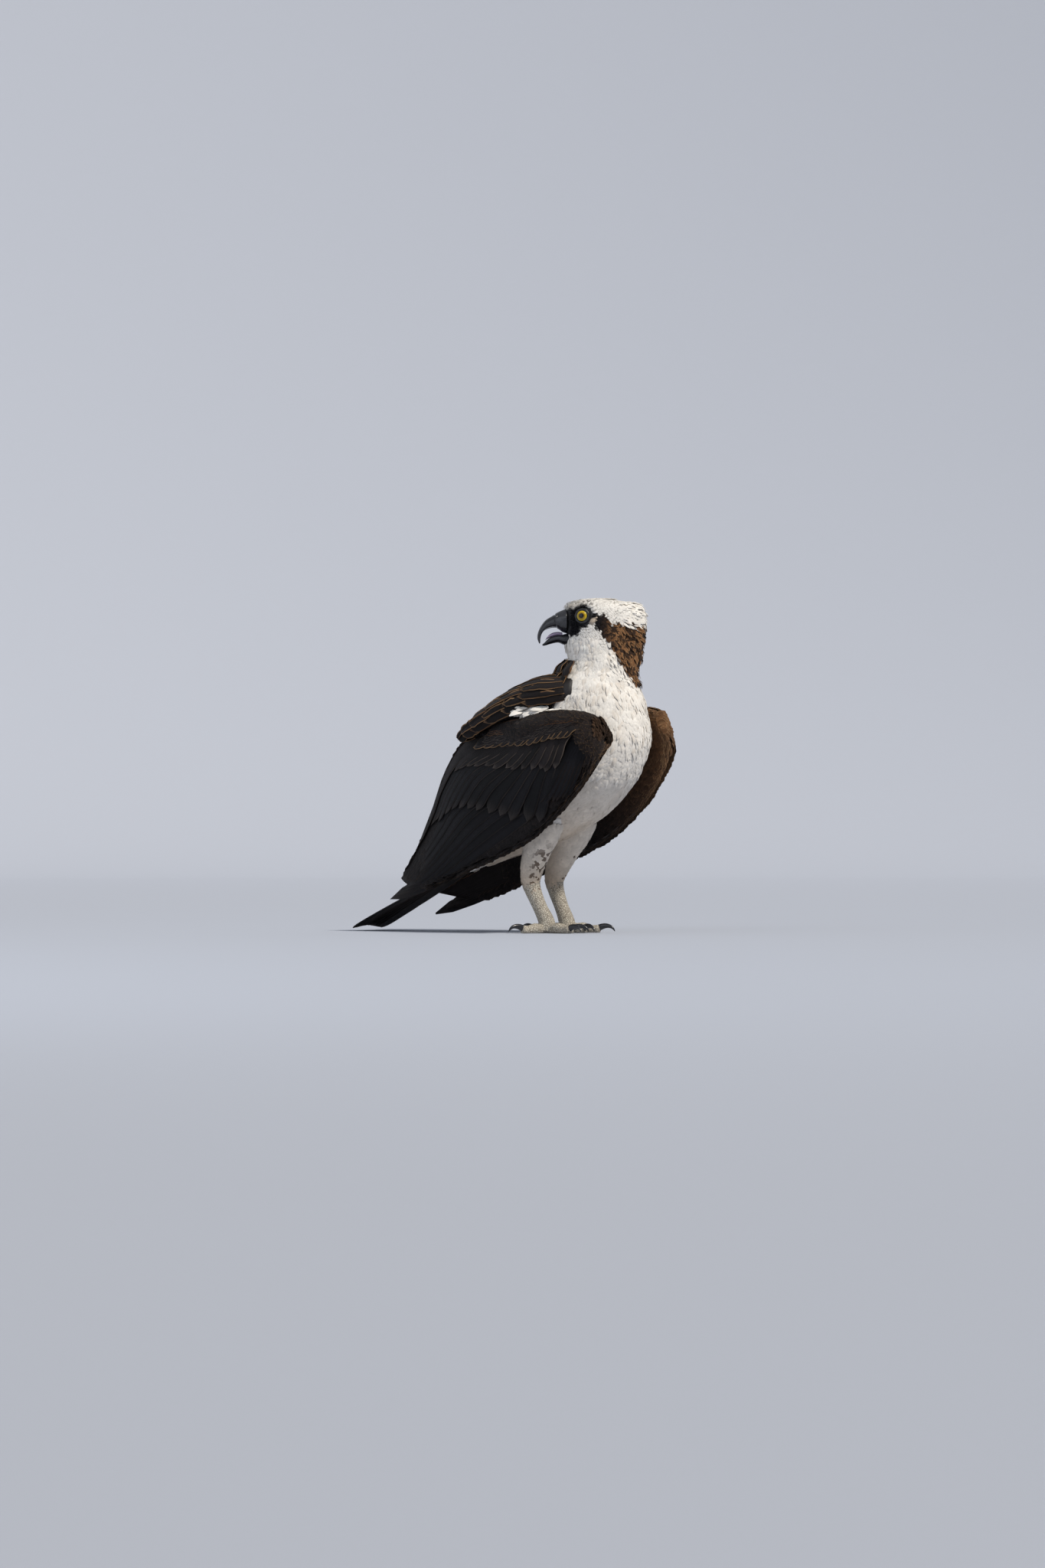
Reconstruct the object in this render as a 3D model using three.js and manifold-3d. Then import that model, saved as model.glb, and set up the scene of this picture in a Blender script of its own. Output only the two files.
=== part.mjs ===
// A life-size still model of an osprey, standing with its head turned back over its right shoulder.
// Millimetres. +Z is up, the body faces -Y and the bird's left is +X. The floor is the plane z = 0.
// Tables give a place as side (x), forward (-y) and up (z).
import * as THREE from 'three';
import { mergeVertices } from 'three/addons/utils/BufferGeometryUtils.js';
import Module from 'manifold-3d';

const wasm = await Module();
wasm.setup();

// Driving dimensions
const gap = 0.3;               // air left between two touching pieces
const bodyRings = 12;          // sections along the torso
const bodySides = 20;          // corners of a torso section
const headSides = 22;          // corners of a head section
const tailCoreReach = 0.93;    // how far the tail's core goes towards the feathers' tips
const collarUp = 322;          // where the neck is parted from the torso
const jawUp = 349;             // where the head is parted from the neck
const rumpForward = -100;      // where the tail is parted from the torso
const heelUp = 64;             // where the tarsus is parted from the feathered leg
const ankleUp = 15;            // where the foot is parted from the tarsus
const headPlace = [0, 63.5, 385];   // middle of the head: side, forward, up
const headTurn = 145;          // degrees that the head is turned to its right
const eyeRadius = 9.2;
const eyePlace = [20.4, 20.2, 4.8]; // in the head's frame: ahead, out, up
const eyeLook = [0.28, 0.95, 0.06]; // the way an eye looks, in the head's frame
const wingPivot = [0, 60, 160];     // the far wing turns about this place
const leftWing = { side: 1, pitch: 5, yaw: 4.5, raise: 6 };
const rightWing = { side: -1, pitch: 0, yaw: 0, raise: 0 };

// Torso sections from the tail root to the neck: back (forward, up), belly (forward, up), half width
const torsoTable = [
  [-122, 122, -96, 84, 20],
  [-112, 140, -72, 92, 34],
  [-92, 166, -34, 104, 50],
  [-66, 196, 16, 119, 62],
  [-42, 228, 66, 146, 69],
  [-24, 258, 106, 188, 71],
  [-12, 284, 126, 236, 67],
  [0, 306, 120, 282, 57],
  [14, 324, 110, 308, 47],
  [18, 340, 108, 330, 44],
];

// Shoulder-feather hump of one side, front to tip: side, forward, up, half width, half height
const humpTable = [
  [32, 56, 296, 28, 25],
  [42, 16, 293, 31, 22],
  [47, -30, 280, 28, 18],
  [45, -72, 263, 21, 11.5],
  [43, -102, 249, 13, 6],
  [42, -118, 238, 3, 1],
];

// Level sections of the head and neck, top down: up, front, back, half width, in the head's frame
const headTable = [
  [28.8, 8, -12, 9],
  [26.5, 27, -18, 16],
  [21.5, 41, -39, 23],
  [14, 46, -47, 27.5],
  [4, 47, -49, 30],
  [-6, 46, -50, 31.5],
  [-16, 44, -50, 32],
  [-26, 43, -49, 33],
  [-36, 41, -48.5, 34],
  [-46, 39, -47, 36.5],
  [-56, 42, -46, 39],
  [-66, 47, -46, 42],
  [-76, 50, -50, 45],
];

// Bill sections from the face out: top (ahead, up), bottom (ahead, up), half width
const upperBillTable = [
  [40, 15, 40, -15, 13.5],
  [47, 12.5, 45, -13.5, 12.8],
  [53, 9.6, 51, -10.5, 11.6],
  [60, 5.4, 57.5, -10, 10.2],
  [67, 0.8, 63, -11.2, 8.8],
  [73, -7, 67.5, -13.4, 6.8],
  [76.4, -15, 70.4, -17.4, 4.6],
  [76.8, -22, 72.4, -22.4, 2.6],
  [74.6, -28, 73.4, -27.4, 0.7],
];
const lowerBillTable = [
  [35, -15.8, 36, -30, 12],
  [43.7, -15.8, 44.6, -29.3, 11],
  [52, -16, 51.5, -26.8, 9.4],
  [60, -17.8, 61, -28.6, 7.4],
  [66, -22, 66.6, -30.2, 5.2],
  [69.6, -26.4, 69.8, -30.6, 2.8],
  [70.8, -29.2, 70.8, -30.2, 0.8],
];
const tongueTable = [
  [46, -14.2, 46, -19, 5.8],
  [52, -13.2, 52, -18.4, 5.4],
  [59, -14.6, 60, -20, 4.4],
  [64.4, -18.6, 66, -23, 2.6],
  [66.6, -22, 67, -23.6, 0.9],
];

// Wing from wrist to tip: low edge (side, forward, up), back edge (side, forward, up), swell, depth
const wingTable = [
  [74, 119, 236, 72, 113, 262, 6, 16],
  [84, 117, 221, 77, 88, 269, 9, 22],
  [87, 106, 197, 76, 43, 271, 11, 22],
  [87, 84, 168, 71, -2, 263, 13, 18],
  [85, 56, 142, 46, -60, 255, 17, 14],
  [80, 18, 116, 22, -126, 240, 21, 11],
  [73, -28, 98, 17, -158, 200, 20, 9],
  [63, -86, 80, 18, -179, 146, 13, 7],
  [51, -150, 61, 19, -212, 86, 7, 5.5],
  [30, -238, 40, 21, -252, 43, 1, 3],
];

// Tail from root to tip: forward, up, half width, thickness, arch
const tailTable = [
  [-92, 101, 22, 34, 2],
  [-120, 91, 25, 22, 4],
  [-160, 72, 28, 11, 5],
  [-205, 50.5, 32, 7, 5],
  [-250, 28.5, 36, 5, 4],
  [-284, 11, 35, 4.4, 3],
  [-297, 4, 24, 4, 2],
];

// Right leg, hip to sole: side, forward, up, half width across, half depth along
const legTable = [
  [36, 4, 150, 22, 34],
  [34, -3, 124, 20, 27],
  [31, -10, 102, 16, 19],
  [28, -18, 82, 13.5, 15],
  [26, -22, 66, 11.5, 12.5],
  [25, -19, 52, 9.6, 10.6],
  [23.5, -10, 32, 8.6, 9.2],
  [22, -2, 16, 9.4, 10.4],
  [22, 0, 6, 10.6, 11.4],
  [22, 0, -2, 10.6, 11.4],
];

// Toes: the way each points (degrees outward from straight ahead), length to the claw, root radius
const toeTable = [
  { name: 'hind', turn: -168, length: 29, radius: 7.2 },
  { name: 'inner', turn: -17, length: 35, radius: 7.2 },
  { name: 'middle', turn: 14, length: 44, radius: 7.6 },
  { name: 'outer', turn: 112, length: 38, radius: 7.2 },
];
const toeTipRadius = 5.2;
const toeSink = 1.2;          // how far a toe's round underside is flattened on the floor
const clawArc = 27;           // length of a claw along its curve
const clawRadius = 4;

// Materials
const finish = (color, roughness, metalness = 0) =>
  new THREE.MeshStandardMaterial({ color, roughness, metalness });
const white = finish(0xe9e4da, 0.85);
const brown = finish(0x2c2622, 0.75);
const horn = finish(0x16171d, 0.35);
const scale = finish(0xb9b6a8, 0.6);
const amber = finish(0xe0ad1e, 0.15);
const flesh = finish(0xa391ac, 0.5);

const rad = THREE.MathUtils.degToRad;
const place = (side, forward, up) => new THREE.Vector3(side, -forward, up);

// A table's row at share t of the way along, on a smooth curve through its rows
function along(table, t) {
  const last = table.length - 1;
  const k = Math.min(Math.floor(t * last), last - 1);
  const rows = [k - 1, k, k + 1, k + 2].map((i) => table[THREE.MathUtils.clamp(i, 0, last)]);
  const f = t * last - k;
  return rows[1].map((value, i) => {
    const [a, b, c, d] = rows.map((row) => row[i]);
    const bend = 2 * a - 5 * b + 4 * c - d;
    const twist = 3 * b - a - 3 * c + d;
    return value + 0.5 * f * (c - a + f * (bend + f * twist));
  });
}

// A closed solid from rings of points, with a fan over each end
function loft(rings) {
  const sides = rings[0].length;
  const points = rings.flat();
  const faces = [];
  for (let i = 0; i + 1 < rings.length; i += 1) {
    for (let j = 0; j < sides; j += 1) {
      const a = i * sides + j;
      const b = i * sides + ((j + 1) % sides);
      faces.push(a, b, b + sides, a, b + sides, a + sides);
    }
  }
  for (const [ring, start, flip] of [[rings[0], 0, true], [rings.at(-1), points.length - sides, false]]) {
    const middle = ring.reduce((sum, p) => sum.add(p), new THREE.Vector3()).divideScalar(sides);
    const centre = points.push(middle) - 1;
    for (let j = 0; j < sides; j += 1) {
      const a = start + j;
      const b = start + ((j + 1) % sides);
      faces.push(...(flip ? [b, a, centre] : [a, b, centre]));
    }
  }
  return solidOf(points, faces);
}

// Six times the volume inside a closed list of faces
function signedVolume(points, faces) {
  let sum = 0;
  for (let i = 0; i < faces.length; i += 3) {
    const [a, b, c] = [points[faces[i]], points[faces[i + 1]], points[faces[i + 2]]];
    sum += a.dot(new THREE.Vector3().crossVectors(b, c));
  }
  return sum;
}

// A manifold solid from points and faces, turned so that its faces point out
function solidOf(points, faces) {
  const outward = signedVolume(points, faces) > 0;
  const triVerts = Uint32Array.from(outward ? faces : faces.toReversed());
  const vertProperties = Float32Array.from(points.flatMap((p) => [p.x, p.y, p.z]));
  return new wasm.Manifold(new wasm.Mesh({ numProp: 3, vertProperties, triVerts }));
}

// A manifold solid from a closed three.js geometry
function solidFrom(geometry) {
  const bare = geometry.clone();
  bare.deleteAttribute('normal');
  bare.deleteAttribute('uv');
  const merged = mergeVertices(bare, 1e-4);
  const position = merged.getAttribute('position');
  const points = Array.from({ length: position.count }, (_, i) =>
    new THREE.Vector3().fromBufferAttribute(position, i));
  return solidOf(points, Array.from(merged.index.array));
}

// The largest closed surface of a solid
const largest = (solid) => solid.decompose().reduce((a, b) => (a.volume() >= b.volume() ? a : b));

// Everything on the far side of a plane, for cutting: the plane passes point, and way points into it
function beyond(point, way) {
  const size = 1200;
  const box = new THREE.BoxGeometry(size, size, size).translate(0, 0, size / 2);
  const turn = new THREE.Quaternion().setFromUnitVectors(new THREE.Vector3(0, 0, 1), way.clone().normalize());
  box.applyQuaternion(turn).translate(point.x, point.y, point.z);
  return solidFrom(box);
}
const up = new THREE.Vector3(0, 0, 1);
const down = new THREE.Vector3(0, 0, -1);
const floor = beyond(place(0, 0, 0), down);
const above = (level) => beyond(place(0, 0, level), up);
const below = (level) => beyond(place(0, 0, level), down);

// Surface of a rounded limb, at share s along its table and at turn q round it
function limbFace(table, s, q, grow = 0) {
  const step = 0.02;
  const here = along(table, s);
  const before = along(table, Math.max(s - step, 0));
  const after = along(table, Math.min(s + step, 1));
  const way = place(...after).sub(place(...before)).normalize();
  const across = new THREE.Vector3(1, 0, 0).addScaledVector(way, -way.x).normalize();
  const deep = new THREE.Vector3().crossVectors(way, across);
  return place(...here)
    .addScaledVector(across, (here[3] + grow) * Math.cos(q))
    .addScaledVector(deep, (here[4] + grow) * Math.sin(q));
}

const shares = (count) => Array.from({ length: count + 1 }, (_, i) => i / count);
const turns = (count) => Array.from({ length: count }, (_, j) => (2 * Math.PI * j) / count);
const limb = (table, sides, steps, grow = 0) =>
  loft(shares(steps).map((s) => turns(sides).map((q) => limbFace(table, s, q, grow))));

// A thin closed plate from two grids of the same size, split alike on both faces
function plate(top, bottom) {
  const [rows, cols] = [top.length, top[0].length];
  const points = [...top.flat(), ...bottom.flat()];
  const under = rows * cols;
  const faces = [];
  for (let i = 0; i + 1 < rows; i += 1) {
    for (let j = 0; j + 1 < cols; j += 1) {
      const [a, b, c, d] = [i * cols + j, i * cols + j + 1, (i + 1) * cols + j + 1, (i + 1) * cols + j];
      faces.push(a, b, c, a, c, d, under + c, under + b, under + a, under + d, under + c, under + a);
    }
  }
  const rim = [];
  for (let j = 0; j < cols; j += 1) rim.push(j);
  for (let i = 1; i < rows; i += 1) rim.push(i * cols + cols - 1);
  for (let j = cols - 2; j >= 0; j -= 1) rim.push((rows - 1) * cols + j);
  for (let i = rows - 2; i > 0; i -= 1) rim.push(i * cols);
  rim.forEach((a, k) => {
    const b = rim[(k + 1) % rim.length];
    faces.push(b, a, under + a, b, under + a, under + b);
  });
  return solidOf(points, faces);
}

// A feather on a surface face(s, t): from root to tip, each [s, t], it rises from sink to lift above it.
// Its outline swells to half a width and narrows to the tip, and roll lifts one edge over its neighbour.
const vaneShares = [0, 0.4, 0.82, 1];
const vaneOutline = [0.62, 1, 0.86, 0.3];
function vane(face, root, tip, feather) {
  const { half, facing = 1, sink = -1.5, lift = 2, roll = 1.1, thick = 0.75 } = feather;
  const spot = (u) => [root[0] + (tip[0] - root[0]) * u, root[1] + (tip[1] - root[1]) * u];
  const top = [];
  const bottom = [];
  vaneShares.forEach((u, i) => {
    const [s, t] = spot(u);
    const centre = face(s, t);
    const ahead = face(...spot(u + 0.01)).sub(face(...spot(u - 0.01))).normalize();
    const out = face(s + 0.01, t).sub(centre).cross(face(s, t + 0.01).sub(centre)).normalize().multiplyScalar(facing);
    const across = new THREE.Vector3().crossVectors(out, ahead).normalize();
    const width = half * vaneOutline[i];
    const height = sink + (lift - sink) * Math.min(u * 1.6, 1);
    const deep = thick * (1 - 0.4 * u);
    const corner = (v, extra) => centre.clone()
      .addScaledVector(across, v * width)
      .addScaledVector(out, height + extra + v * roll);
    top.push([corner(-1, 0), corner(1, 0)]);
    bottom.push([corner(-1, -deep), corner(1, -deep)]);
  });
  return plate(top, bottom);
}

// Every feather of a tier, from its first root and tip to its last
const mix = (a, b, f) => a.map((value, i) => value + (b[i] - value) * f);
function tier(face, { count, roots, tips, half, jitter = 0.012, ...rest }) {
  return Array.from({ length: count }, (_, i) => {
    const f = count > 1 ? i / (count - 1) : 0;
    const tip = mix(tips[0], tips[1], f).map((value) => value + jitter * (random() - 0.5));
    return vane(face, mix(roots[0], roots[1], f), tip, { half: half * (0.94 + 0.12 * random()), ...rest });
  });
}
const joined = (solids) => solids.reduce((a, b) => a.add(b));

// A seeded draw between 0 and 1, so that every run gives the same feathers
let seed = 20;
function random() {
  seed = (seed * 1664525 + 1013904223) % 4294967296;
  return seed / 4294967296;
}

const mirrored = (table, side) => table.map(([x, ...rest]) => [side * x, ...rest]);

// Torso surface, at share s from the tail root to the neck and at turn q round from the back
function torsoFace(s, q, grow = 0) {
  const [backF, backUp, bellyF, bellyUp, half] = along(torsoTable, s);
  const back = place(0, backF, backUp);
  const belly = place(0, bellyF, bellyUp);
  const deep = back.clone().sub(belly).multiplyScalar(0.5);
  deep.setLength(deep.length() + grow);
  return back.lerp(belly, 0.5).addScaledVector(deep, Math.cos(q)).setX((half + grow) * Math.sin(q));
}
const torsoCore = (grow = 0) =>
  loft(shares(bodyRings).map((s) => turns(bodySides).map((q) => torsoFace(s, q, grow))));
const hump = (side, grow = 0) => limb(mirrored(humpTable, side), 10, 6, grow);

// The feathers over one shoulder, in tiers from the neck to the long ones whose tips meet at the hump's end
const humpTiers = [
  { count: 3, roots: [[0.18, -2.3], [0.18, -0.5]], tips: [[0.46, -2.3], [0.5, -0.5]], half: 14, lift: 3.6 },
  { count: 3, roots: [[0.4, -2.4], [0.4, -0.5]], tips: [[0.74, -2.3], [0.76, -0.6]], half: 14, lift: 2 },
  { count: 3, roots: [[0.62, -2.2], [0.62, -0.8]], tips: [[0.93, -2], [0.95, -0.9]], half: 8, lift: 1 },
];
function humpFeathers(side) {
  const table = mirrored(humpTable, side);
  const face = (s, q) => limbFace(table, s, side > 0 ? q : Math.PI - q);
  return humpTiers.flatMap((spec) => tier(face, { ...spec, facing: -side }));
}

// Mantle feathers down the back, between the two shoulders
const mantleTiers = [
  { count: 3, roots: [[0.88, -0.55], [0.88, 0.55]], tips: [[0.72, -0.5], [0.72, 0.5]], half: 11.5, lift: 2.6 },
  { count: 3, roots: [[0.76, -0.3], [0.76, 0.3]], tips: [[0.5, -0.3], [0.5, 0.3]], half: 12, lift: 0.8 },
];
const mantleFeathers = () => mantleTiers.flatMap((spec) => tier(torsoFace, spec));
const torsoForm = (grow = 0) => torsoCore(grow).add(hump(1, grow)).add(hump(-1, grow));

// The head's frame: ahead along the bill, out to one side, up
const headMatrix = new THREE.Matrix4()
  .makeTranslation(place(...headPlace))
  .multiply(new THREE.Matrix4().makeRotationZ(rad(-headTurn)));
const inHead = (ahead, left, upward) => new THREE.Vector3(left, -ahead, upward).applyMatrix4(headMatrix);

// The share of the head's table where a level lies
function levelShare(level) {
  const k = headTable.findIndex(([rowUp]) => rowUp <= level);
  const [upper, lower] = [headTable[k - 1][0], headTable[k][0]];
  return (k - 1 + (upper - level) / (upper - lower)) / (headTable.length - 1);
}

// Head and neck in one: level sections of an egg shape, each with its own front, back and width
function headForm(grow = 0) {
  const rings = headTable.map(([level, front, back, half]) => {
    const middle = (front + back) / 2;
    const reach = (front - back) / 2 + grow;
    return Array.from({ length: headSides }, (_, j) => {
      const q = (2 * Math.PI * j) / headSides;
      const narrow = 1 - 0.16 * Math.max(Math.cos(q), 0) ** 2;
      return inHead(middle + reach * Math.cos(q), (half + grow) * Math.sin(q) * narrow, level);
    });
  });
  return loft(rings);
}

// A bill half or the tongue: rows of top (ahead, up), bottom (ahead, up) and half width
function billForm(table, sides, steps, grow = 0) {
  const rings = [];
  for (let i = 0; i <= steps; i += 1) {
    const [topA, topUp, lowA, lowUp, half] = along(table, i / steps);
    const top = new THREE.Vector2(topA, topUp);
    const low = new THREE.Vector2(lowA, lowUp);
    const middle = top.clone().lerp(low, 0.5);
    const deep = top.clone().sub(low).multiplyScalar(0.5);
    deep.setLength(deep.length() + grow);
    rings.push(Array.from({ length: sides }, (_, j) => {
      const q = (2 * Math.PI * j) / sides;
      const spot = middle.clone().addScaledVector(deep, Math.cos(q));
      return inHead(spot.x, (half + grow) * Math.sin(q), spot.y);
    }));
  }
  return loft(rings);
}

const eyeCentre = (side) => inHead(eyePlace[0], side * eyePlace[1], eyePlace[2]);
function eyeBall(side, grow = 0) {
  const centre = eyeCentre(side);
  const ball = new THREE.IcosahedronGeometry(eyeRadius + grow, 2);
  return solidFrom(ball.translate(centre.x, centre.y, centre.z));
}

// Lid: a soft ring round the part of the eye that shows
function lidRing(side) {
  const look = inHead(eyeLook[0], side * eyeLook[1], eyeLook[2]).sub(inHead(0, 0, 0)).normalize();
  const ring = new THREE.TorusGeometry(7.9, 2.1, 7, 16);
  const turn = new THREE.Quaternion().setFromUnitVectors(up, look);
  const centre = eyeCentre(side).addScaledVector(look, 4.9);
  return solidFrom(ring.applyQuaternion(turn).translate(centre.x, centre.y, centre.z));
}

// The line of the mouth, a thin slot from the gape to the bill
function mouthSlot() {
  const slot = new THREE.BoxGeometry(90, 24, 1.6);
  const centre = inHead(39, 0, -14.8);
  return solidFrom(slot.applyMatrix4(new THREE.Matrix4().makeRotationZ(rad(-headTurn)))
    .translate(centre.x, centre.y, centre.z));
}

// A wing's place in the part: mirrored to its side, then turned about the pivot and raised
function wingMatrix({ side, pitch, yaw, raise }) {
  const pivot = place(...wingPivot);
  return new THREE.Matrix4()
    .makeTranslation(pivot.clone().setZ(pivot.z + raise))
    .multiply(new THREE.Matrix4().makeRotationZ(rad(-side * yaw)))
    .multiply(new THREE.Matrix4().makeRotationX(rad(-pitch)))
    .multiply(new THREE.Matrix4().makeTranslation(pivot.clone().negate()))
    .multiply(new THREE.Matrix4().makeScale(side, 1, 1));
}

// Outer face of the wing at share s from wrist to tip and share t from low edge to back edge
function wingFace(s, t) {
  const [lowX, lowF, lowUp, backX, backF, backUp, swell] = along(wingTable, s);
  const low = place(lowX, lowF, lowUp);
  const back = place(backX, backF, backUp);
  const rise = Math.sin(Math.PI * t) * swell;
  return low.lerp(back, t).add(new THREE.Vector3(0.93, 0.37, 0).multiplyScalar(rise));
}

// A closed wing under its feathers: an outer face that stands out by rise, and an inner one deeper by the
// depth at each place. margin holds it back from the wing's outline, which the feathers make.
const wingInward = new THREE.Vector3(-0.97, -0.24, 0);
function wingForm({ rise, margin, slack, steps, strips }) {
  return loft(shares(steps).map((share) => {
    const s = THREE.MathUtils.lerp(margin, 1 - margin, share);
    const depth = along(wingTable, s)[7];
    const spot = (j, extra) => {
      const t = THREE.MathUtils.lerp(margin, 1 - margin, j / strips);
      return wingFace(s, t).addScaledVector(wingInward, extra * (1 - 0.45 * t) - rise(s, t));
    };
    const outer = Array.from({ length: strips + 1 }, (_, j) => spot(j, 0));
    const inner = Array.from({ length: strips - 1 }, (_, j) => spot(strips - 1 - j, depth + 2 * rise(s, 0.5) + slack));
    return [...outer, ...inner];
  }));
}
const wingCore = { margin: 0.045, rise: wingCoreRise, slack: 3.6, steps: 9, strips: 5 };
const wingEnvelope = { margin: -0.06, rise: () => 10, slack: 4, steps: 10, strips: 5 };

// How far the wing's core stands above its mean face: thick along the forearm and the hand, thin behind
function wingCoreRise(s, t) {
  const forearm = Math.exp(-(((t - 0.95) / 0.22) ** 2)) * THREE.MathUtils.smoothstep(0.56 - s, 0, 0.2);
  const hand = Math.exp(-((s / 0.13) ** 2));
  return -3.6 + 8.6 * Math.max(forearm, hand * 0.8);
}

// Wing feathers in tiers, deepest first, each feather from its root to its tip on the wing's face:
// primaries, secondaries, tertials, primary coverts, greater coverts and median coverts
const wingTiers = [
  { count: 5, roots: [[0.24, 0.2], [0.36, 0.46]], tips: [[0.985, 0.14], [0.87, 0.8]], half: 11, lift: -2.6 },
  { count: 7, roots: [[0.13, 0.7], [0.44, 0.8]], tips: [[0.5, 0.05], [0.78, 0.88]], half: 14, lift: 0.2 },
  { count: 2, roots: [[0.42, 0.86], [0.46, 0.92]], tips: [[0.74, 0.96], [0.86, 0.98]], half: 13, lift: 2.2 },
  { count: 3, roots: [[0.1, 0.34], [0.14, 0.46]], tips: [[0.36, 0.04], [0.44, 0.14]], half: 9.5, lift: 0 },
  { count: 6, roots: [[0.14, 0.74], [0.44, 0.84]], tips: [[0.32, 0.32], [0.62, 0.82]], half: 14, lift: 2.6 },
  { count: 6, roots: [[0.1, 0.82], [0.4, 0.9]], tips: [[0.2, 0.56], [0.51, 0.85]], half: 13.5, lift: 4.8 },
];
const wingFeathers = () => wingTiers.flatMap((spec) =>
  tier(wingFace, { sink: wingCoreRise(...spec.roots[0]) - 1.2, jitter: 0.008, ...spec }));

// Tail core: a flat, slightly arched fan, narrower and shorter than its feathers
function tailForm() {
  return loft(shares(6).map((share) => {
    const [forward, level, half, thick, arch] = along(tailTable, share * tailCoreReach);
    return turns(10).map((q) => place(
      half * 0.9 * Math.cos(q), forward, level - arch * Math.cos(q) ** 2 + 0.5 * thick * Math.sin(q)));
  }));
}

// The tail's middle sheet, at share s from its root and at t across, -1 to 1
function tailFace(s, t) {
  const [forward, level, half, , arch] = along(tailTable, s);
  return place(t * half, forward, level - arch * t * t);
}

// Tail feathers: each outer pair lies under the pair inside it, with coverts over and under the roots
function tailFeathers() {
  const pairs = [5, 4, 3, 2, 1, 0].flatMap((i) => [-1, 1].map((side) => {
    const tip = [1 - 0.012 * i, side * (0.09 + 0.155 * i)];
    return vane(tailFace, [0.28, side * (0.05 + 0.1 * i)], tip,
      { half: 8.6, facing: -1, sink: 0, lift: 2.3 - 0.5 * i, roll: -0.5 * side, thick: 0.8 });
  }));
  const over = tier(tailFace, { count: 4, roots: [[0.08, -0.6], [0.08, 0.6]], tips: [[0.42, -0.7], [0.42, 0.7]],
    half: 9, facing: -1, sink: 5, lift: 6 });
  const under = tier(tailFace, { count: 4, roots: [[0.1, 0.6], [0.1, -0.6]], tips: [[0.6, 0.5], [0.6, -0.5]],
    half: 11, facing: 1, sink: 4, lift: 3.4 });
  return [...pairs, ...over, ...under];
}

// Pointed locks of the nape, which stand out behind and fall down the neck
const crestTiers = [
  { level: 16, count: 4, drop: -3, reach: 12 },
  { level: 6, count: 4, drop: -7, reach: 11 },
  { level: -6, count: 3, drop: -14, reach: 8 },
  { level: -19, count: 3, drop: -18, reach: 6 },
];
function crestLocks() {
  return crestTiers.flatMap(({ level, count, drop, reach }) => Array.from({ length: count }, (_, i) => {
    const q = Math.PI + 1.5 * ((i + 0.5) / count - 0.5);
    const [, front, back, half] = along(headTable, levelShare(level));
    const middle = (front + back) / 2;
    const far = (front - back) / 2;
    const spot = (u) => inHead(
      middle + (far - 5 + (reach + 5 + random()) * u) * Math.cos(q),
      (half - 5 + (reach * 0.5 + 5) * u) * Math.sin(q),
      level + drop * u * u);
    const across = inHead(-Math.sin(q), Math.cos(q), 0).sub(inHead(0, 0, 0));
    const rows = [[0, 4.6], [0.5, 4.2], [0.85, 2], [1, 0.5]].map(([u, half2]) => [
      spot(u).addScaledVector(across, -half2), spot(u).addScaledVector(across, half2)]);
    const lower = rows.map((row, k) => row.map((p) => p.clone().addScaledVector(up, -1.6 + 0.3 * k)));
    return plate(rows, lower);
  }));
}

// A toe from the ankle to the claw's root, with a bulge at each joint
function toeTableOf(side, { turn, length, radius }) {
  const ankle = along(legTable, 1);
  const [dx, df] = [side * Math.sin(rad(turn)), Math.cos(rad(turn))];
  return [0, 0.25, 0.5, 0.75, 1].map((share, i) => {
    const r = THREE.MathUtils.lerp(radius, toeTipRadius, share) + (i % 2 ? -0.5 : 0.4);
    return [side * ankle[0] + dx * length * share, ankle[1] + df * length * share, r - toeSink, r, r];
  });
}
function toe(side, spec, grow = 0) {
  const rows = toeTableOf(side, spec);
  const dir = place(rows[4][0] - rows[0][0], rows[4][1] - rows[0][1], 0).normalize();
  const across = new THREE.Vector3().crossVectors(up, dir);
  return loft(rows.map(([x, f, z, r], i) => Array.from({ length: 8 }, (_, j) => {
    const q = (2 * Math.PI * (j + 0.5)) / 8;
    const centre = place(x, f, z).addScaledVector(dir, i === 4 ? grow : 0);
    return centre
      .addScaledVector(across, (r + grow) * Math.cos(q))
      .addScaledVector(up, (r + grow) * Math.sin(q));
  })));
}
function claw(side, spec) {
  const rows = toeTableOf(side, spec);
  const [x, f] = rows[4];
  const dir = place(x - rows[0][0], f - rows[0][1], 0).normalize();
  const across = new THREE.Vector3().crossVectors(up, dir);
  const steps = 6;
  const rings = [];
  for (let i = 0; i <= steps; i += 1) {
    const share = i / steps;
    const lean = rad(38 - 112 * share);
    const r = clawRadius * (1 - share) ** 0.75 + 0.25;
    const reach = clawArc * Math.sin(share * 1.25) / 1.25;
    const rise = 6.3 + clawArc * 0.62 * share * (0.72 - share * 1.02);
    const centre = place(x, f, rise).addScaledVector(dir, reach - 1.5);
    const over = up.clone().multiplyScalar(Math.cos(lean)).addScaledVector(dir, -Math.sin(lean));
    rings.push(Array.from({ length: 7 }, (_, j) => {
      const q = (2 * Math.PI * j) / 7;
      return centre.clone().addScaledVector(across, r * 0.8 * Math.cos(q)).addScaledVector(over, r * Math.sin(q));
    }));
  }
  return loft(rings);
}

const group = new THREE.Group();

function addNode(name, solid, material) {
  const { vertProperties, triVerts } = largest(solid).getMesh();
  const geometry = new THREE.BufferGeometry();
  geometry.setAttribute('position', new THREE.BufferAttribute(vertProperties, 3));
  geometry.setIndex(new THREE.BufferAttribute(triVerts, 1));
  geometry.computeVertexNormals();
  const mesh = new THREE.Mesh(geometry, material);
  mesh.name = name;
  group.add(mesh);
}

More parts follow.
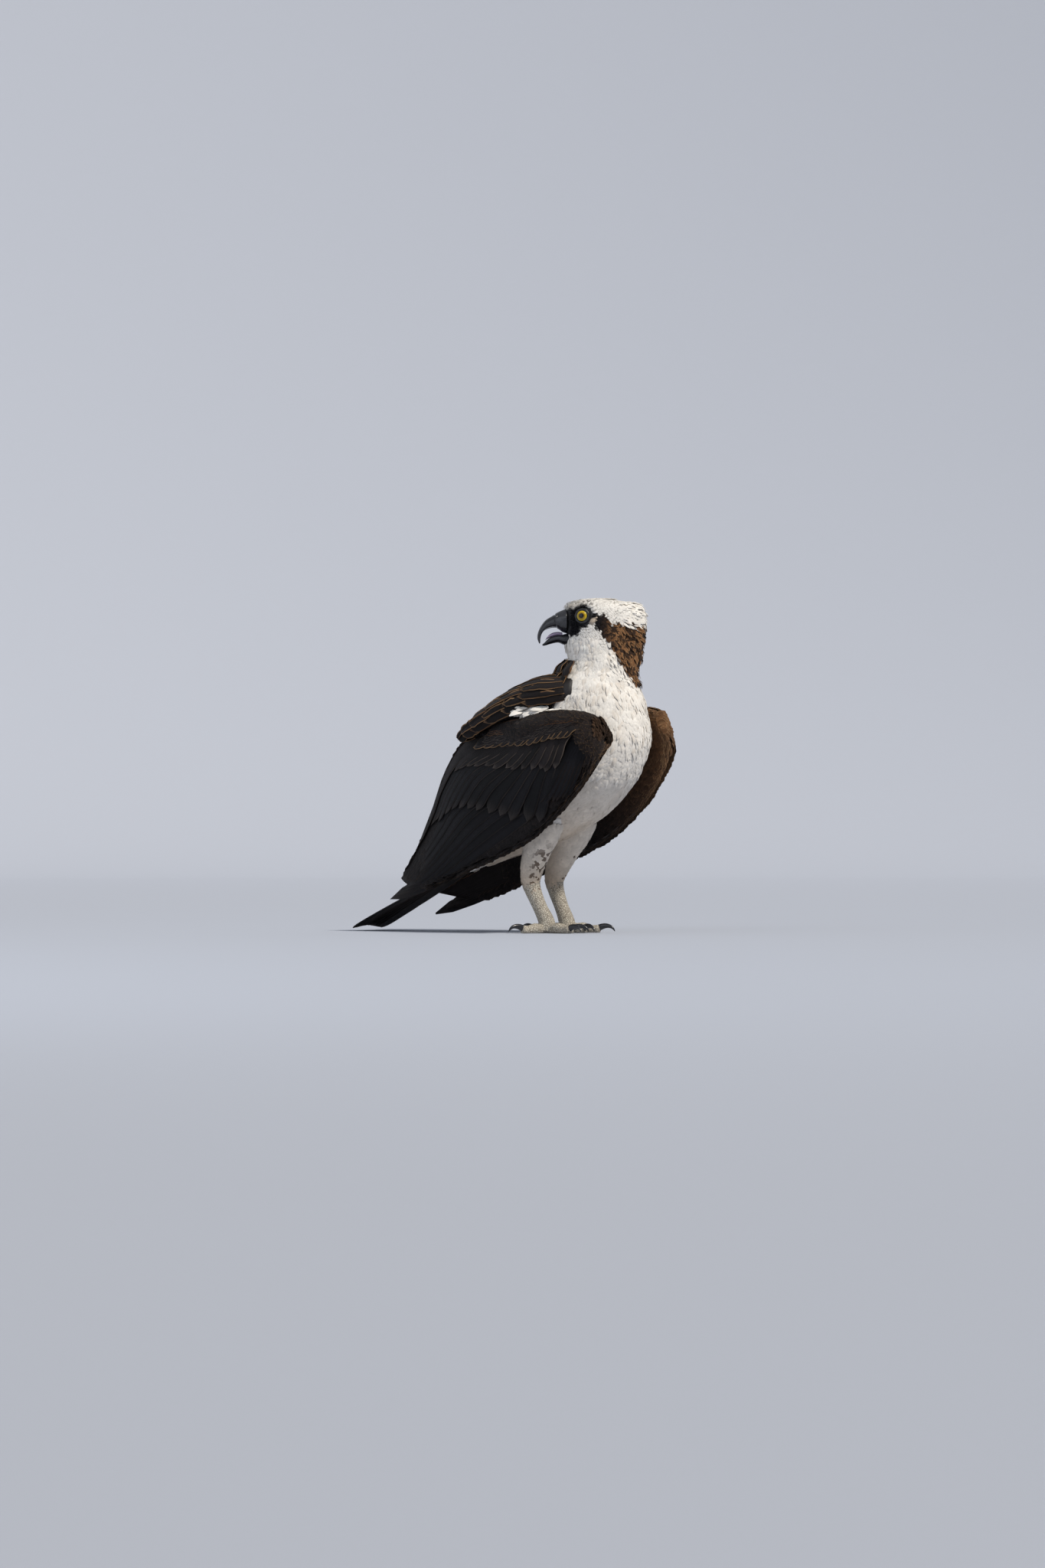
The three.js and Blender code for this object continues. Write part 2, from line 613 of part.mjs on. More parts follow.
// Body
const rumpWay = place(0, -1, -0.45);
const torsoGrown = torsoForm(gap);
const wingSpaces = [leftWing, rightWing].map((wing) =>
  wingForm(wingEnvelope).transform(wingMatrix(wing).elements));
const plumes = joined([...humpFeathers(1), ...humpFeathers(-1), ...mantleFeathers()])
  .subtract(wingSpaces[0]).subtract(wingSpaces[1]);
const torso = torsoForm().add(plumes).subtract(above(collarUp)).subtract(beyond(place(0, rumpForward, 100), rumpWay));
addNode('torso', torso, brown);
const tailCut = beyond(place(0, rumpForward, 100).addScaledVector(rumpWay.clone().normalize(), gap), rumpWay);
addNode('tail', joined([tailForm(), ...tailFeathers()]).intersect(tailCut).subtract(floor), brown);

// Head
const whole = headForm();
addNode('neck', whole.subtract(above(jawUp)).subtract(below(collarUp + gap)), white);
const brows = [1, -1].map(lidRing);
const eyes = [1, -1].map((side) => eyeBall(side, gap));
const upperBill = billForm(upperBillTable, 12, 11);
const lowerBill = billForm(lowerBillTable, 10, 8);
const tongue = billForm(tongueTable, 8, 5);
const head = joined([whole, ...brows, ...crestLocks()])
  .subtract(below(jawUp + gap))
  .subtract(eyes[0]).subtract(eyes[1])
  .subtract(mouthSlot())
  .subtract(billForm(tongueTable, 8, 5, gap));
addNode('head', head, white);
const headGrown = headForm(gap);
addNode('bill_upper', upperBill.subtract(headGrown), horn);
addNode('bill_lower', lowerBill.subtract(headGrown).subtract(billForm(tongueTable, 8, 5, gap)), horn);
addNode('tongue', tongue.subtract(headGrown).subtract(billForm(upperBillTable, 12, 11, gap)), flesh);
addNode('eye_left', eyeBall(1), amber);
addNode('eye_right', eyeBall(-1), amber);

// Wings
for (const [name, wing] of [['wing_left', leftWing], ['wing_right', rightWing]]) {
  const solid = joined([wingForm(wingCore), ...wingFeathers()]).transform(wingMatrix(wing).elements);
  addNode(name, solid.subtract(torsoGrown), brown);
}

// Legs, feet and claws
for (const [name, side] of [['left', 1], ['right', -1]]) {
  const leg = limb(mirrored(legTable, side), 12, 14);
  addNode(`thigh_${name}`, leg.subtract(torsoGrown).subtract(below(heelUp)), white);
  addNode(`tarsus_${name}`, leg.subtract(above(heelUp - gap)).subtract(below(ankleUp)), scale);
  const foot = toeTable.reduce((a, spec) => a.add(toe(side, spec)), leg.subtract(above(ankleUp - gap)));
  addNode(`foot_${name}`, foot.subtract(floor), scale);
  for (const spec of toeTable) {
    addNode(`claw_${spec.name}_${name}`, claw(side, spec).subtract(toe(side, spec, gap)).subtract(floor), horn);
  }
}

// The origin is the middle of the right sole
group.position.x = legTable.at(-1)[0];

export default group;
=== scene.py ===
"""A life-size osprey, standing with its head turned back over its right shoulder.

The solids of the frame give its size and pose. This script lays the plumage over one skin, feather by
feather, and makes the bill, eyes, scaly legs and claws. Tables are in millimetres, as side (x), forward
(-y) and up (z) from the point between the feet; meshes are in metres, from the middle of the right sole.
"""

from __future__ import annotations

import logging
import math
from dataclasses import dataclass
from enum import Enum

import bpy
import numpy as np
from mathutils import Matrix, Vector

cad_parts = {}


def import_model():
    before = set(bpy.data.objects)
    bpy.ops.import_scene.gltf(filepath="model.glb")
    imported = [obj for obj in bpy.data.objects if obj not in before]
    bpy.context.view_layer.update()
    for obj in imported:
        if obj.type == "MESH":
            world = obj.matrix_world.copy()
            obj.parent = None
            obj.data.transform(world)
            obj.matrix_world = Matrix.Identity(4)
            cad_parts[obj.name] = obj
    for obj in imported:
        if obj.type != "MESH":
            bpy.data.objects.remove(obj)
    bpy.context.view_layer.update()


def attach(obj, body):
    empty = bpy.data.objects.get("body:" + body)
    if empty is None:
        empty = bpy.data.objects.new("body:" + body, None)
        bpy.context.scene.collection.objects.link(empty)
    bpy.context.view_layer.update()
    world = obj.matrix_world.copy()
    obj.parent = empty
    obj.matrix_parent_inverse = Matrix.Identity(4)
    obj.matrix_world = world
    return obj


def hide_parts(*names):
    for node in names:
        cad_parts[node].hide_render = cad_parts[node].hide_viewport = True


log = logging.getLogger("osprey")

Array = np.ndarray
Generator = np.random.Generator
Socket = bpy.types.NodeSocket
Pair = tuple[float, float]
Rgba = tuple[float, float, float, float]

SEED = 7
TURN = 2 * math.pi
MM = 0.001
FOOT_SPREAD = 22.0  # from the middle of the body to a foot, in millimetres
COAT_DEPTH = 3.0  # from the tips of the body feathers down to the skin
BAKE_PATCH = 0.003  # width of one feather's patch on the bake map
END_RING = 0.02  # size of the ring that closes a skin, as a share of its last section
PALE, PLUMES = "pale_feathers", "dark_feathers"  # slots

# Driving sizes, the same as the solids'
TORSO = [
    (-122, 122, -96, 84, 20), (-112, 140, -72, 92, 34), (-92, 166, -34, 104, 50), (-66, 196, 16, 119, 62),
    (-42, 228, 66, 146, 69), (-24, 258, 106, 188, 71), (-12, 284, 126, 236, 67), (0, 306, 120, 282, 57),
    (14, 324, 110, 308, 47), (18, 340, 108, 330, 44),
]
HUMP = [
    (32, 56, 296, 28, 25), (42, 16, 293, 31, 22), (47, -30, 280, 28, 18), (45, -72, 263, 21, 11.5),
    (43, -102, 249, 13, 6), (42, -118, 238, 3, 1),
]
HEAD = [
    (28.8, 8, -12, 9), (26.5, 27, -18, 16), (21.5, 41, -39, 23), (14, 46, -47, 27.5), (4, 47, -49, 30),
    (-6, 46, -50, 31.5), (-16, 44, -50, 32), (-26, 43, -49, 33), (-36, 41, -48.5, 34), (-46, 39, -47, 36.5),
    (-56, 42, -46, 39), (-66, 47, -46, 42), (-76, 50, -50, 45),
]
UPPER_BILL = [
    (40, 15, 40, -15, 13.5), (47, 12.5, 45, -13.5, 12.8), (53, 9.6, 51, -10.5, 11.6),
    (60, 5.4, 57.5, -10, 10.2), (67, 0.8, 63, -11.2, 8.8), (73, -7, 67.5, -13.4, 6.8),
    (76.4, -15, 70.4, -17.4, 4.6), (76.8, -22, 72.4, -22.4, 2.6), (74.6, -28, 73.4, -27.4, 0.7),
]
LOWER_BILL = [
    (35, -15.8, 36, -30, 12), (43.7, -15.8, 44.6, -29.3, 11), (52, -16, 51.5, -26.8, 9.4),
    (60, -17.8, 61, -28.6, 7.4), (66, -22, 66.6, -30.2, 5.2), (69.6, -26.4, 69.8, -30.6, 2.8),
    (70.8, -29.2, 70.8, -30.2, 0.8),
]
TONGUE = [
    (46, -14.2, 46, -19, 5.8), (52, -13.2, 52, -18.4, 5.4), (59, -14.6, 60, -20, 4.4),
    (64.4, -18.6, 66, -23, 2.6), (66.6, -22, 67, -23.6, 0.9),
]
WING = [
    (74, 119, 236, 72, 113, 262, 6, 16), (84, 117, 221, 77, 88, 269, 9, 22),
    (87, 106, 197, 76, 43, 271, 11, 22), (87, 84, 168, 71, -2, 263, 13, 18),
    (85, 56, 142, 46, -60, 255, 17, 14), (80, 18, 116, 22, -126, 240, 21, 11),
    (73, -28, 98, 17, -158, 200, 20, 9), (63, -86, 80, 18, -179, 146, 13, 7),
    (51, -150, 61, 19, -212, 86, 7, 5.5), (30, -238, 40, 21, -252, 43, 1, 3),
]
TAIL = [
    (-92, 101, 22, 34, 2), (-120, 91, 25, 22, 4), (-160, 72, 28, 11, 5), (-205, 50.5, 32, 7, 5),
    (-250, 28.5, 36, 5, 4), (-284, 11, 35, 4.4, 3), (-297, 4, 24, 4, 2),
]
LEG = [
    (36, 4, 150, 22, 34), (34, -3, 124, 20, 27), (31, -10, 102, 16, 19), (28, -18, 82, 13.5, 15),
    (26, -22, 66, 11.5, 12.5), (25, -19, 52, 9.6, 10.6), (23.5, -10, 32, 8.6, 9.2), (22, -2, 16, 9.4, 10.4),
    (22, 0, 6, 10.6, 11.4), (22, 0, -2, 10.6, 11.4),
]
HEEL_SHARE = 0.46  # where the feathers of the leg end on its table
HEAD_PLACE = (0.0, 63.5, 385.0)
HEAD_TURN = math.radians(145)
WING_PIVOT = (0.0, 60.0, 160.0)
EYE_RADIUS = 9.2
EYE_PLACE = (20.4, 20.2, 4.8)
EYE_LOOK = (0.28, 0.95, 0.06)


class Side(Enum):
    """The two sides of the bird, as the sign of x."""

    LEFT = 1
    RIGHT = -1

    @property
    def word(self) -> str:
        """The side's name in a node."""
        return self.name.lower()


# Linear colours
WHITE, CREAM, BLACK, DARK, BROWN, RUST, BUFF, GREY = np.array((
    (0.83, 0.79, 0.73), (0.54, 0.44, 0.34), (0.006, 0.0055, 0.007), (0.0135, 0.0105, 0.0105),
    (0.030, 0.017, 0.011), (0.21, 0.098, 0.040), (0.46, 0.28, 0.14), (0.115, 0.090, 0.074),
))


def along(table: list[tuple[float, ...]], share: Array | float) -> Array:
    """Rows of a table on a Catmull-Rom curve through them.

    Args:
        table: rows of numbers, first to last.
        share: how far along, 0 to 1, of any shape.

    Returns:
        An array with one more axis than share, the row at each place.
    """
    rows = np.asarray(table, float)
    last = len(rows) - 1
    spot = np.asarray(share, float) * last
    k = np.clip(np.floor(spot), 0, last - 1).astype(int)
    f = (spot - k)[..., None]
    a, b, c, d = (rows[np.clip(k + step, 0, last)] for step in (-1, 0, 1, 2))
    return b + 0.5 * f * (c - a + f * (2 * a - 5 * b + 4 * c - d + f * (3 * b - a - 3 * c + d)))


def place(side: Array, forward: Array, up: Array) -> Array:
    """Points from side, forward and up, as x, -forward and z."""
    return np.stack(np.broadcast_arrays(side, -np.asarray(forward, float), up), axis=-1).astype(float)


def unit(vectors: Array) -> Array:
    """Vectors at length one."""
    return vectors / np.maximum(np.linalg.norm(vectors, axis=-1, keepdims=True), 1e-9)


def smooth(low: float, high: float, value: Array) -> Array:
    """A smooth step from 0 at low to 1 at high; low may be above high."""
    f = np.clip((value - low) / (high - low), 0, 1)
    return f * f * (3 - 2 * f)


def mix(a: Array, b: Array, f: Array) -> Array:
    """Colours or points between a and b, with f for each of them."""
    return a + (b - a) * np.asarray(f)[..., None]


def dot(a: Array, b: Array) -> Array:
    """Dot products, with their axis kept."""
    return np.sum(a * b, axis=-1, keepdims=True)


def tangent(way: Array, normal: Array, share: Array | float = 1.0) -> Array:
    """Directions with a share of their part along the normal taken away."""
    return unit(way - normal * dot(way, normal) * share)


def outward(normal: Array, away: Array) -> Array:
    """Normals turned to the side of away."""
    return normal * np.sign(dot(normal, away) + 1e-6)


def folded(t: Array) -> Array:
    """How far a turn is from 0, either way round, 0 to pi."""
    return np.abs((np.asarray(t) + math.pi) % TURN - math.pi)


def head_direction(ahead: Array, left: Array, up: Array) -> Array:
    """Directions of the head's own frame, turned by HEAD_TURN about the upright."""
    x, y, z = np.moveaxis(place(left, ahead, up), -1, 0)
    c, s = math.cos(HEAD_TURN), math.sin(HEAD_TURN)
    return np.stack((c * x + s * y, c * y - s * x, z), -1)


def in_head(ahead: Array, left: Array, up: Array) -> Array:
    """Points of the head's own frame, set at HEAD_PLACE."""
    return head_direction(ahead, left, up) + place(*HEAD_PLACE)


def clumps(s: Array, t: Array) -> Array:
    """A soft field from -1 to 1 that parts the body feathers in tufts: a product of two warped sines."""
    return np.sin(8 * t + 2.5 * np.sin(13 * s)) * np.sin(21 * s + 1.8 * np.sin(5 * t))


def head_coordinates(points: Array) -> tuple[Array, Array, Array]:
    """The ahead, left and up of points in the head's frame, the inverse of in_head."""
    spot = points - place(*HEAD_PLACE)
    c, s = math.cos(HEAD_TURN), math.sin(HEAD_TURN)
    return -(s * spot[..., 0] + c * spot[..., 1]), c * spot[..., 0] - s * spot[..., 1], spot[..., 2]


class Surface:
    """A smooth face of the bird as a function of two parameters, with its outward side."""

    facing: float = 1.0

    def points(self, s: Array, t: Array) -> Array:
        """Points at the parameters s and t."""
        raise NotImplementedError

    def slopes(self, s: Array, t: Array, step: float = 0.004) -> tuple[Array, Array]:
        """How the point moves with s and with t, by central differences."""
        ds = (self.points(s + step, t) - self.points(s - step, t)) / (2 * step)
        dt = (self.points(s, t + step) - self.points(s, t - step)) / (2 * step)
        return ds, dt

    def normals(self, s: Array, t: Array) -> Array:
        """Outward directions, across both slopes."""
        ds, dt = self.slopes(s, t)
        return self.facing * unit(np.cross(ds, dt))

    def frame(self, s: Array, t: Array) -> tuple[Array, Array, Array, Array]:
        """Points with their outward directions and the directions in which s and t grow."""
        ds, dt = self.slopes(s, t)
        return self.points(s, t), self.normals(s, t), unit(ds), unit(dt)


@dataclass
class Torso(Surface):
    """Ellipses between the back and belly lines, turned by t from the back; grow moves them out."""

    grow: float = 0.0
    collar: float = 9.0  # how far the last section draws in, under the feathers of the neck

    def points(self, s: Array, t: Array) -> Array:
        """Points at share s from tail root to neck and turn t."""
        row = along(TORSO, s)
        zero = np.zeros_like(row[..., 0])
        back, belly = place(zero, row[..., 0], row[..., 1]), place(zero, row[..., 2], row[..., 3])
        deep = (back - belly) / 2
        size = np.linalg.norm(deep, axis=-1, keepdims=True)
        drawn = smooth(0.86, 1.0, np.asarray(s, float)) * smooth(0.8, 1.5, folded(t))
        grow = self.grow - self.collar * drawn
        spot = (back + belly) / 2 + deep / size * (size + grow[..., None]) * np.cos(t)[..., None]
        spot[..., 0] = (row[..., 4] + grow) * np.sin(t)
        return spot


@dataclass
class Limb(Surface):
    """Ellipses square to a bent centre line, turned by t; used for shoulder humps and legs."""

    table: list[tuple[float, ...]]
    side: Side
    grow: float = 0.0
    facing: float = -1.0

    def points(self, s: Array, t: Array) -> Array:
        """Points at share s along the line and turn t."""
        step = 0.02
        s, t = np.broadcast_arrays(np.asarray(s, float), np.asarray(t, float))
        sign = np.array((self.side.value, 1, 1))
        here = along(self.table, s)
        before, after = (place(*np.moveaxis(along(self.table, np.clip(s + d, 0, 1))[..., :3], -1, 0)) * sign
                         for d in (-step, step))
        way = unit(after - before)
        across = unit(np.array((1.0, 0, 0)) - way * way[..., :1])
        deep = np.cross(way, across)
        centre = place(here[..., 0], here[..., 1], here[..., 2]) * sign
        return (centre + across * ((here[..., 3] + self.grow) * np.cos(t))[..., None]
                + deep * ((here[..., 4] + self.grow) * np.sin(t))[..., None])


@dataclass
class HeadNeck(Surface):
    """Level egg-shaped sections with their own front, back and width, turned by t from the front."""

    grow: float = 0.0

    def points(self, s: Array, t: Array) -> Array:
        """Points at share s from crown to collar and turn t."""
        up, front, back, half = np.moveaxis(along(HEAD, s), -1, 0)
        reach = (front - back) / 2 + self.grow
        narrow = 1 - 0.16 * np.maximum(np.cos(t), 0) ** 2
        return in_head((front + back) / 2 + reach * np.cos(t), (half + self.grow) * np.sin(t) * narrow,
                       up + self.grow * smooth(0.3, 0.0, np.asarray(s, float)))


@dataclass
class Wing(Surface):
    """Chords from the low edge to the back edge with a swell, mirrored to a side and turned about a pivot."""

    side: Side

    def __post_init__(self) -> None:
        """The far wing hangs a little lower and further out than the near one."""
        self.facing = float(self.side.value)
        far = float(self.side is Side.LEFT)
        self.pitch, self.yaw, self.rise = math.radians(5) * far, math.radians(4.5) * far, 6.0 * far

    def pose(self, spot: Array) -> Array:
        """Points of the left-hand table taken to this wing's side and turned."""
        pivot = place(*WING_PIVOT)
        spot = spot * np.array((self.side.value, 1, 1)) - pivot
        c, s = math.cos(-self.pitch), math.sin(-self.pitch)
        y, z = c * spot[..., 1] - s * spot[..., 2], s * spot[..., 1] + c * spot[..., 2]
        c, s = math.cos(-self.side.value * self.yaw), math.sin(-self.side.value * self.yaw)
        x, y = c * spot[..., 0] - s * y, s * spot[..., 0] + c * y
        return np.stack((x, y, z + self.rise), -1) + pivot

    def flat(self, s: Array, t: Array) -> Array:
        """Points before they are posed, at share s from wrist to tip and t from low to back edge."""
        row = along(WING, s)
        t = np.asarray(t, float)[..., None]
        low, back = place(*np.moveaxis(row[..., :3], -1, 0)), place(*np.moveaxis(row[..., 3:6], -1, 0))
        swell = np.sin(math.pi * t) * row[..., 6:7]
        return low + (back - low) * t + np.array((0.93, 0.37, 0)) * swell

    def points(self, s: Array, t: Array) -> Array:
        """Points at share s from wrist to tip and t from low to back edge."""
        return self.pose(self.flat(s, t))


def core_rise(s: Array, t: Array) -> Array:
    """How far the wing's flesh stands above its mean face: forearm and hand thick, the rest thin."""
    forearm = np.exp(-(((t - 0.95) / 0.22) ** 2)) * smooth(0.56, 0.36, s)
    hand = np.exp(-((s / 0.13) ** 2))
    return -3.6 + 8.6 * np.maximum(forearm, hand * 0.8)


@dataclass
class WingCore(Wing):
    """The wing's flesh as a closed ring: t from 0 to 0.5 is the outer face, 0.5 to 1 the inner one."""

    @staticmethod
    def span(t: Array) -> tuple[Array, Array]:
        """Share across the wing from its low to its back edge, and whether t is on the inner face."""
        return 0.5 - 0.5 * np.cos(TURN * t), np.sin(TURN * t) < 0

    def points(self, s: Array, t: Array) -> Array:
        """Points at share s and turn t round the section."""
        s, t = np.broadcast_arrays(np.asarray(s, float), np.asarray(t, float) % 1.0)
        span, inner = self.span(t)
        depth = along(WING, s)[..., 7]
        rise = core_rise(s, span)
        edge = np.sqrt(np.abs(np.sin(TURN * t)))
        down = (depth + 2 * core_rise(s, np.full_like(s, 0.5)) + 3.6) * (1 - 0.45 * span)
        out = np.where(inner, rise * 0.3 - down * edge, rise * (0.35 + 0.65 * edge))
        spot = self.flat(s, 0.03 + 0.94 * span) + np.array((0.97, 0.24, 0)) * out[..., None]
        return self.pose(spot)


@dataclass
class Tail(Surface):
    """A flat fan with a slight arch: t across from -1 to 1."""

    facing: float = -1.0

    def points(self, s: Array, t: Array) -> Array:
        """Points at share s from root to tip and t across."""
        forward, up, half, _, arch = np.moveaxis(along(TAIL, s), -1, 0)
        return place(t * half, forward, up - arch * np.asarray(t) ** 2)


@dataclass
class Bill(Surface):
    """Ellipses between a top and a bottom line in the head's middle plane, turned by t from the top."""

    table: list[tuple[float, ...]]
    grow: float = 0.0

    def points(self, s: Array, t: Array) -> Array:
        """Points at share s from the face to the tip and turn t."""
        row = along(self.table, s)
        top, low = row[..., 0:2], row[..., 2:4]
        deep = (top - low) / 2
        size = np.linalg.norm(deep, axis=-1, keepdims=True)
        spot = (top + low) / 2 + deep / size * (size + self.grow) * np.cos(t)[..., None]
        return in_head(spot[..., 0], (row[..., 4] + self.grow) * np.sin(t), spot[..., 1])


@dataclass
class MeshData:
    """Arrays of one mesh: points in millimetres, quads, bake map, vane map and colours of each point."""

    points: Array
    quads: Array
    bake: Array
    vane: Array
    tint: Array
    fringe: Array

    @staticmethod
    def joined(parts: list["MeshData"]) -> "MeshData":
        """Several meshes as one."""
        starts = np.cumsum([0] + [len(p.points) for p in parts[:-1]])
        quads = np.concatenate([p.quads + start for p, start in zip(parts, starts)])
        rest = [np.concatenate([getattr(p, name) for p in parts])
                for name in ("points", "bake", "vane", "tint", "fringe")]
        return MeshData(rest[0], quads, *rest[1:])


def make_object(name: str, data: MeshData, material: bpy.types.Material) -> bpy.types.Object:
    """Puts arrays into a new mesh object at the origin.

    Args:
        name: the piece's name.
        data: the arrays, in millimetres from the point between the feet.
        material: its finish.

    Returns:
        The new object, linked to the scene.
    """
    mesh = bpy.data.meshes.new(name)
    quads = data.quads.astype(np.int32)
    points = (data.points + np.array((FOOT_SPREAD, 0, 0))) * MM
    mesh.vertices.add(len(points))
    mesh.vertices.foreach_set("co", points.astype(np.float32).ravel())
    mesh.loops.add(quads.size)
    mesh.loops.foreach_set("vertex_index", quads.ravel())
    mesh.polygons.add(len(quads))
    mesh.polygons.foreach_set("loop_start", np.arange(0, quads.size, 4, dtype=np.int32))
    mesh.update(calc_edges=True)
    mesh.polygons.foreach_set("use_smooth", np.ones(len(quads), bool))
    for layer, values in (("OFBake", data.bake), ("Vane", data.vane)):
        uv = mesh.uv_layers.new(name=layer)
        uv.data.foreach_set("uv", values[quads.ravel()].astype(np.float32).ravel())
    for layer, values in (("Tint", data.tint), ("Fringe", data.fringe)):
        colour = mesh.attributes.new(layer, "FLOAT_COLOR", "POINT")
        full = np.concatenate((values, np.ones((len(values), 1))), axis=1)
        colour.data.foreach_set("color", full.astype(np.float32).ravel())
    mesh.validate()
    mesh.materials.append(material)
    obj = bpy.data.objects.new(name, mesh)
    bpy.context.scene.collection.objects.link(obj)
    log.info("%s: %d faces", name, len(quads))
    return obj


def add_piece(name: str, data: MeshData, material: bpy.types.Material, slot: str, *nodes: str) -> None:
    """Makes a piece that rides on the body and hides the nodes that it stands for."""
    obj = make_object(name, data, material)
    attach(obj, "root")
    if nodes:
        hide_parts(*nodes)


def ring_grid(rows: int, cols: int, span: Pair = (0.0, 1.0), turn: float = TURN) -> tuple[Array, Array]:
    """Grids of a share or angle over a span, and of a whole turn in cols steps."""
    return tuple(np.meshgrid(np.linspace(*span, rows), np.arange(cols + 1) / cols * turn, indexing="ij"))


def grid_quads(rows: int, cols: int) -> Array:
    """Corner numbers of the faces of a grid, row by row."""
    index = np.arange(rows * cols).reshape(rows, cols)
    return np.stack((index[:-1, :-1], index[:-1, 1:], index[1:, 1:], index[1:, :-1]), -1).reshape(-1, 4)


def grid_mesh(points: Array, tint: Array, margin: float = 0.02) -> MeshData:
    """Mesh arrays of a grid of points, its flat map inside a margin of the unit square."""
    rows, cols = points.shape[:2]
    edges = (np.linspace(margin, 1 - margin, count) for count in (rows, cols))
    maps = np.stack(np.meshgrid(*edges, indexing="ij"), -1).reshape(-1, 2)
    colour = np.broadcast_to(tint, points.shape).reshape(-1, 3)
    quads = grid_quads(rows, cols)[:, [0, 3, 2, 1]]
    return MeshData(points.reshape(-1, 3), quads, maps, maps.copy(), colour.copy(), colour.copy())


def drawn_in(ring: Array) -> Array:
    """A ring drawn in to a small one about its middle."""
    middle = ring.mean(axis=0)
    return middle + (ring - middle) * END_RING


def shell(surface: Surface, rows: int, cols: int, span: Pair = (0.0, 1.0), turn: float = TURN,
          tint: Array = CREAM) -> MeshData:
    """A closed skin over a surface that is round in t, its ends drawn in to a small ring and capped.

    Args:
        surface: the face to follow.
        rows: sections along s.
        cols: points round each section.
        span: first and last s.
        turn: the whole turn in t.
        tint: colour of every point.

    Returns:
        The mesh arrays, with the bake map spread over s and t.
    """
    points = surface.points(*ring_grid(rows, cols, span, turn))
    points[:, -1] = points[:, 0]
    data = grid_mesh(np.concatenate(([drawn_in(points[0])], points, [drawn_in(points[-1])])), tint, 0.01)
    data.quads = grid_quads(rows + 2, cols + 1)
    corners = data.points[data.quads[:, :3]]
    face = np.cross(corners[:, 1] - corners[:, 0], corners[:, 2] - corners[:, 0])
    if np.sum(face * (corners[:, 0] - data.points.mean(axis=0))) < 0:
        data.quads = data.quads[:, ::-1]
    return data


class Outline(Enum):
    """How wide a feather is along its length: root width, where the tip starts, least width."""

    FLIGHT = (0.55, 0.86, 0.10)
    COVERT = (0.50, 0.66, 0.10)
    BODY = (0.45, 0.50, 0.12)
    LOCK = (0.60, 0.15, 0.03)

    def width(self, u: Array) -> Array:
        """Share of the half width at share u: a quick rise, a straight run and a quarter-ellipse tip."""
        root, start, least = self.value
        rise = root + (1 - root) * smooth(0, 0.35, u)
        end = np.clip((u - start) / (1 - start), 0, 1)
        return np.maximum(rise * np.sqrt(np.clip(1 - end**2, 0, 1)), least)


@dataclass(frozen=True)
class Vane:
    """Sizes of one kind of feather, in millimetres unless said otherwise."""

    outline: Outline
    rows: int = 5
    cols: int = 3
    thick: float = 0.0  # 0 is a single sheet
    camber: float = 0.15  # how far the shaft stands above the edges, as a share of the half width
    roll: float = 0.0  # how far one edge is lifted over the neighbour
    sink: float = 0.0
    lift: float = COAT_DEPTH
    ragged: float = 0.05  # how much the edge comes and goes, as a share of the width


def feathers(vane: Vane, centre: Array, across: Array, out: Array, half: Array, bake: Array,
             tint: Array, fringe: Array, rng: Generator) -> MeshData:
    """Feather meshes from their centre lines: each is a grid of rows along and columns across.

    A point is the centre plus across * v * half * outline(u), plus out * (camber * (1 - v^2) + roll * v).

    Args:
        vane: sizes of the kind.
        centre, across, out: arrays of shape (feathers, rows, 3).
        half: half width of each feather.
        bake: place of each feather's patch on the bake map.
        tint, fringe: colours of each feather's web and edge.
        rng: the seeded draw.

    Returns:
        The mesh arrays.
    """
    count, rows = centre.shape[:2]
    u = np.linspace(0, 1, rows)
    v = np.linspace(-1, 1, vane.cols)
    width = half[:, None] * vane.outline.width(u)[None]
    edge = 1 + vane.ragged * rng.standard_normal((count, rows, vane.cols)) * (np.abs(v) > 0.9)
    reach = width[..., None] * v * edge
    height = width[..., None] * vane.camber * (1 - v**2) + vane.roll * v
    top = centre[:, :, None] + across[:, :, None] * reach[..., None] + out[:, :, None] * height[..., None]
    size = rows * vane.cols
    quads = grid_quads(rows, vane.cols)
    sheets = [top]
    if vane.thick > 0:
        deep = vane.thick * (1 - 0.5 * u)[None, :, None, None]
        sheets.append(top - out[:, :, None] * deep)
        index = np.arange(size).reshape(rows, vane.cols)
        rim = np.concatenate((index[0, :-1], index[:-1, -1], index[-1, :0:-1], index[:0:-1, 0]))
        after = np.roll(rim, -1)
        wall = np.stack((after, rim, rim + size, after + size), -1)
        quads = np.concatenate((quads, quads[:, ::-1] + size, wall))
    points = np.concatenate([sheet.reshape(count, size, 3) for sheet in sheets], axis=1)
    per = points.shape[1]
    all_quads = (quads[None] + (np.arange(count) * per)[:, None, None]).reshape(-1, 4)
    grid_u, grid_v = np.meshgrid(u, v, indexing="ij")
    flat = np.tile(np.stack((0.5 + 0.5 * grid_v, grid_u), -1).reshape(size, 2), (len(sheets), 1))
    patch = bake[:, None] + BAKE_PATCH * (flat[None] - 0.5)
    web, edging = (np.repeat(colour, per, axis=0) for colour in (tint, fringe))
    return MeshData(points.reshape(-1, 3), all_quads, patch.reshape(-1, 2), np.tile(flat, (count, 1)),
                    web, edging)


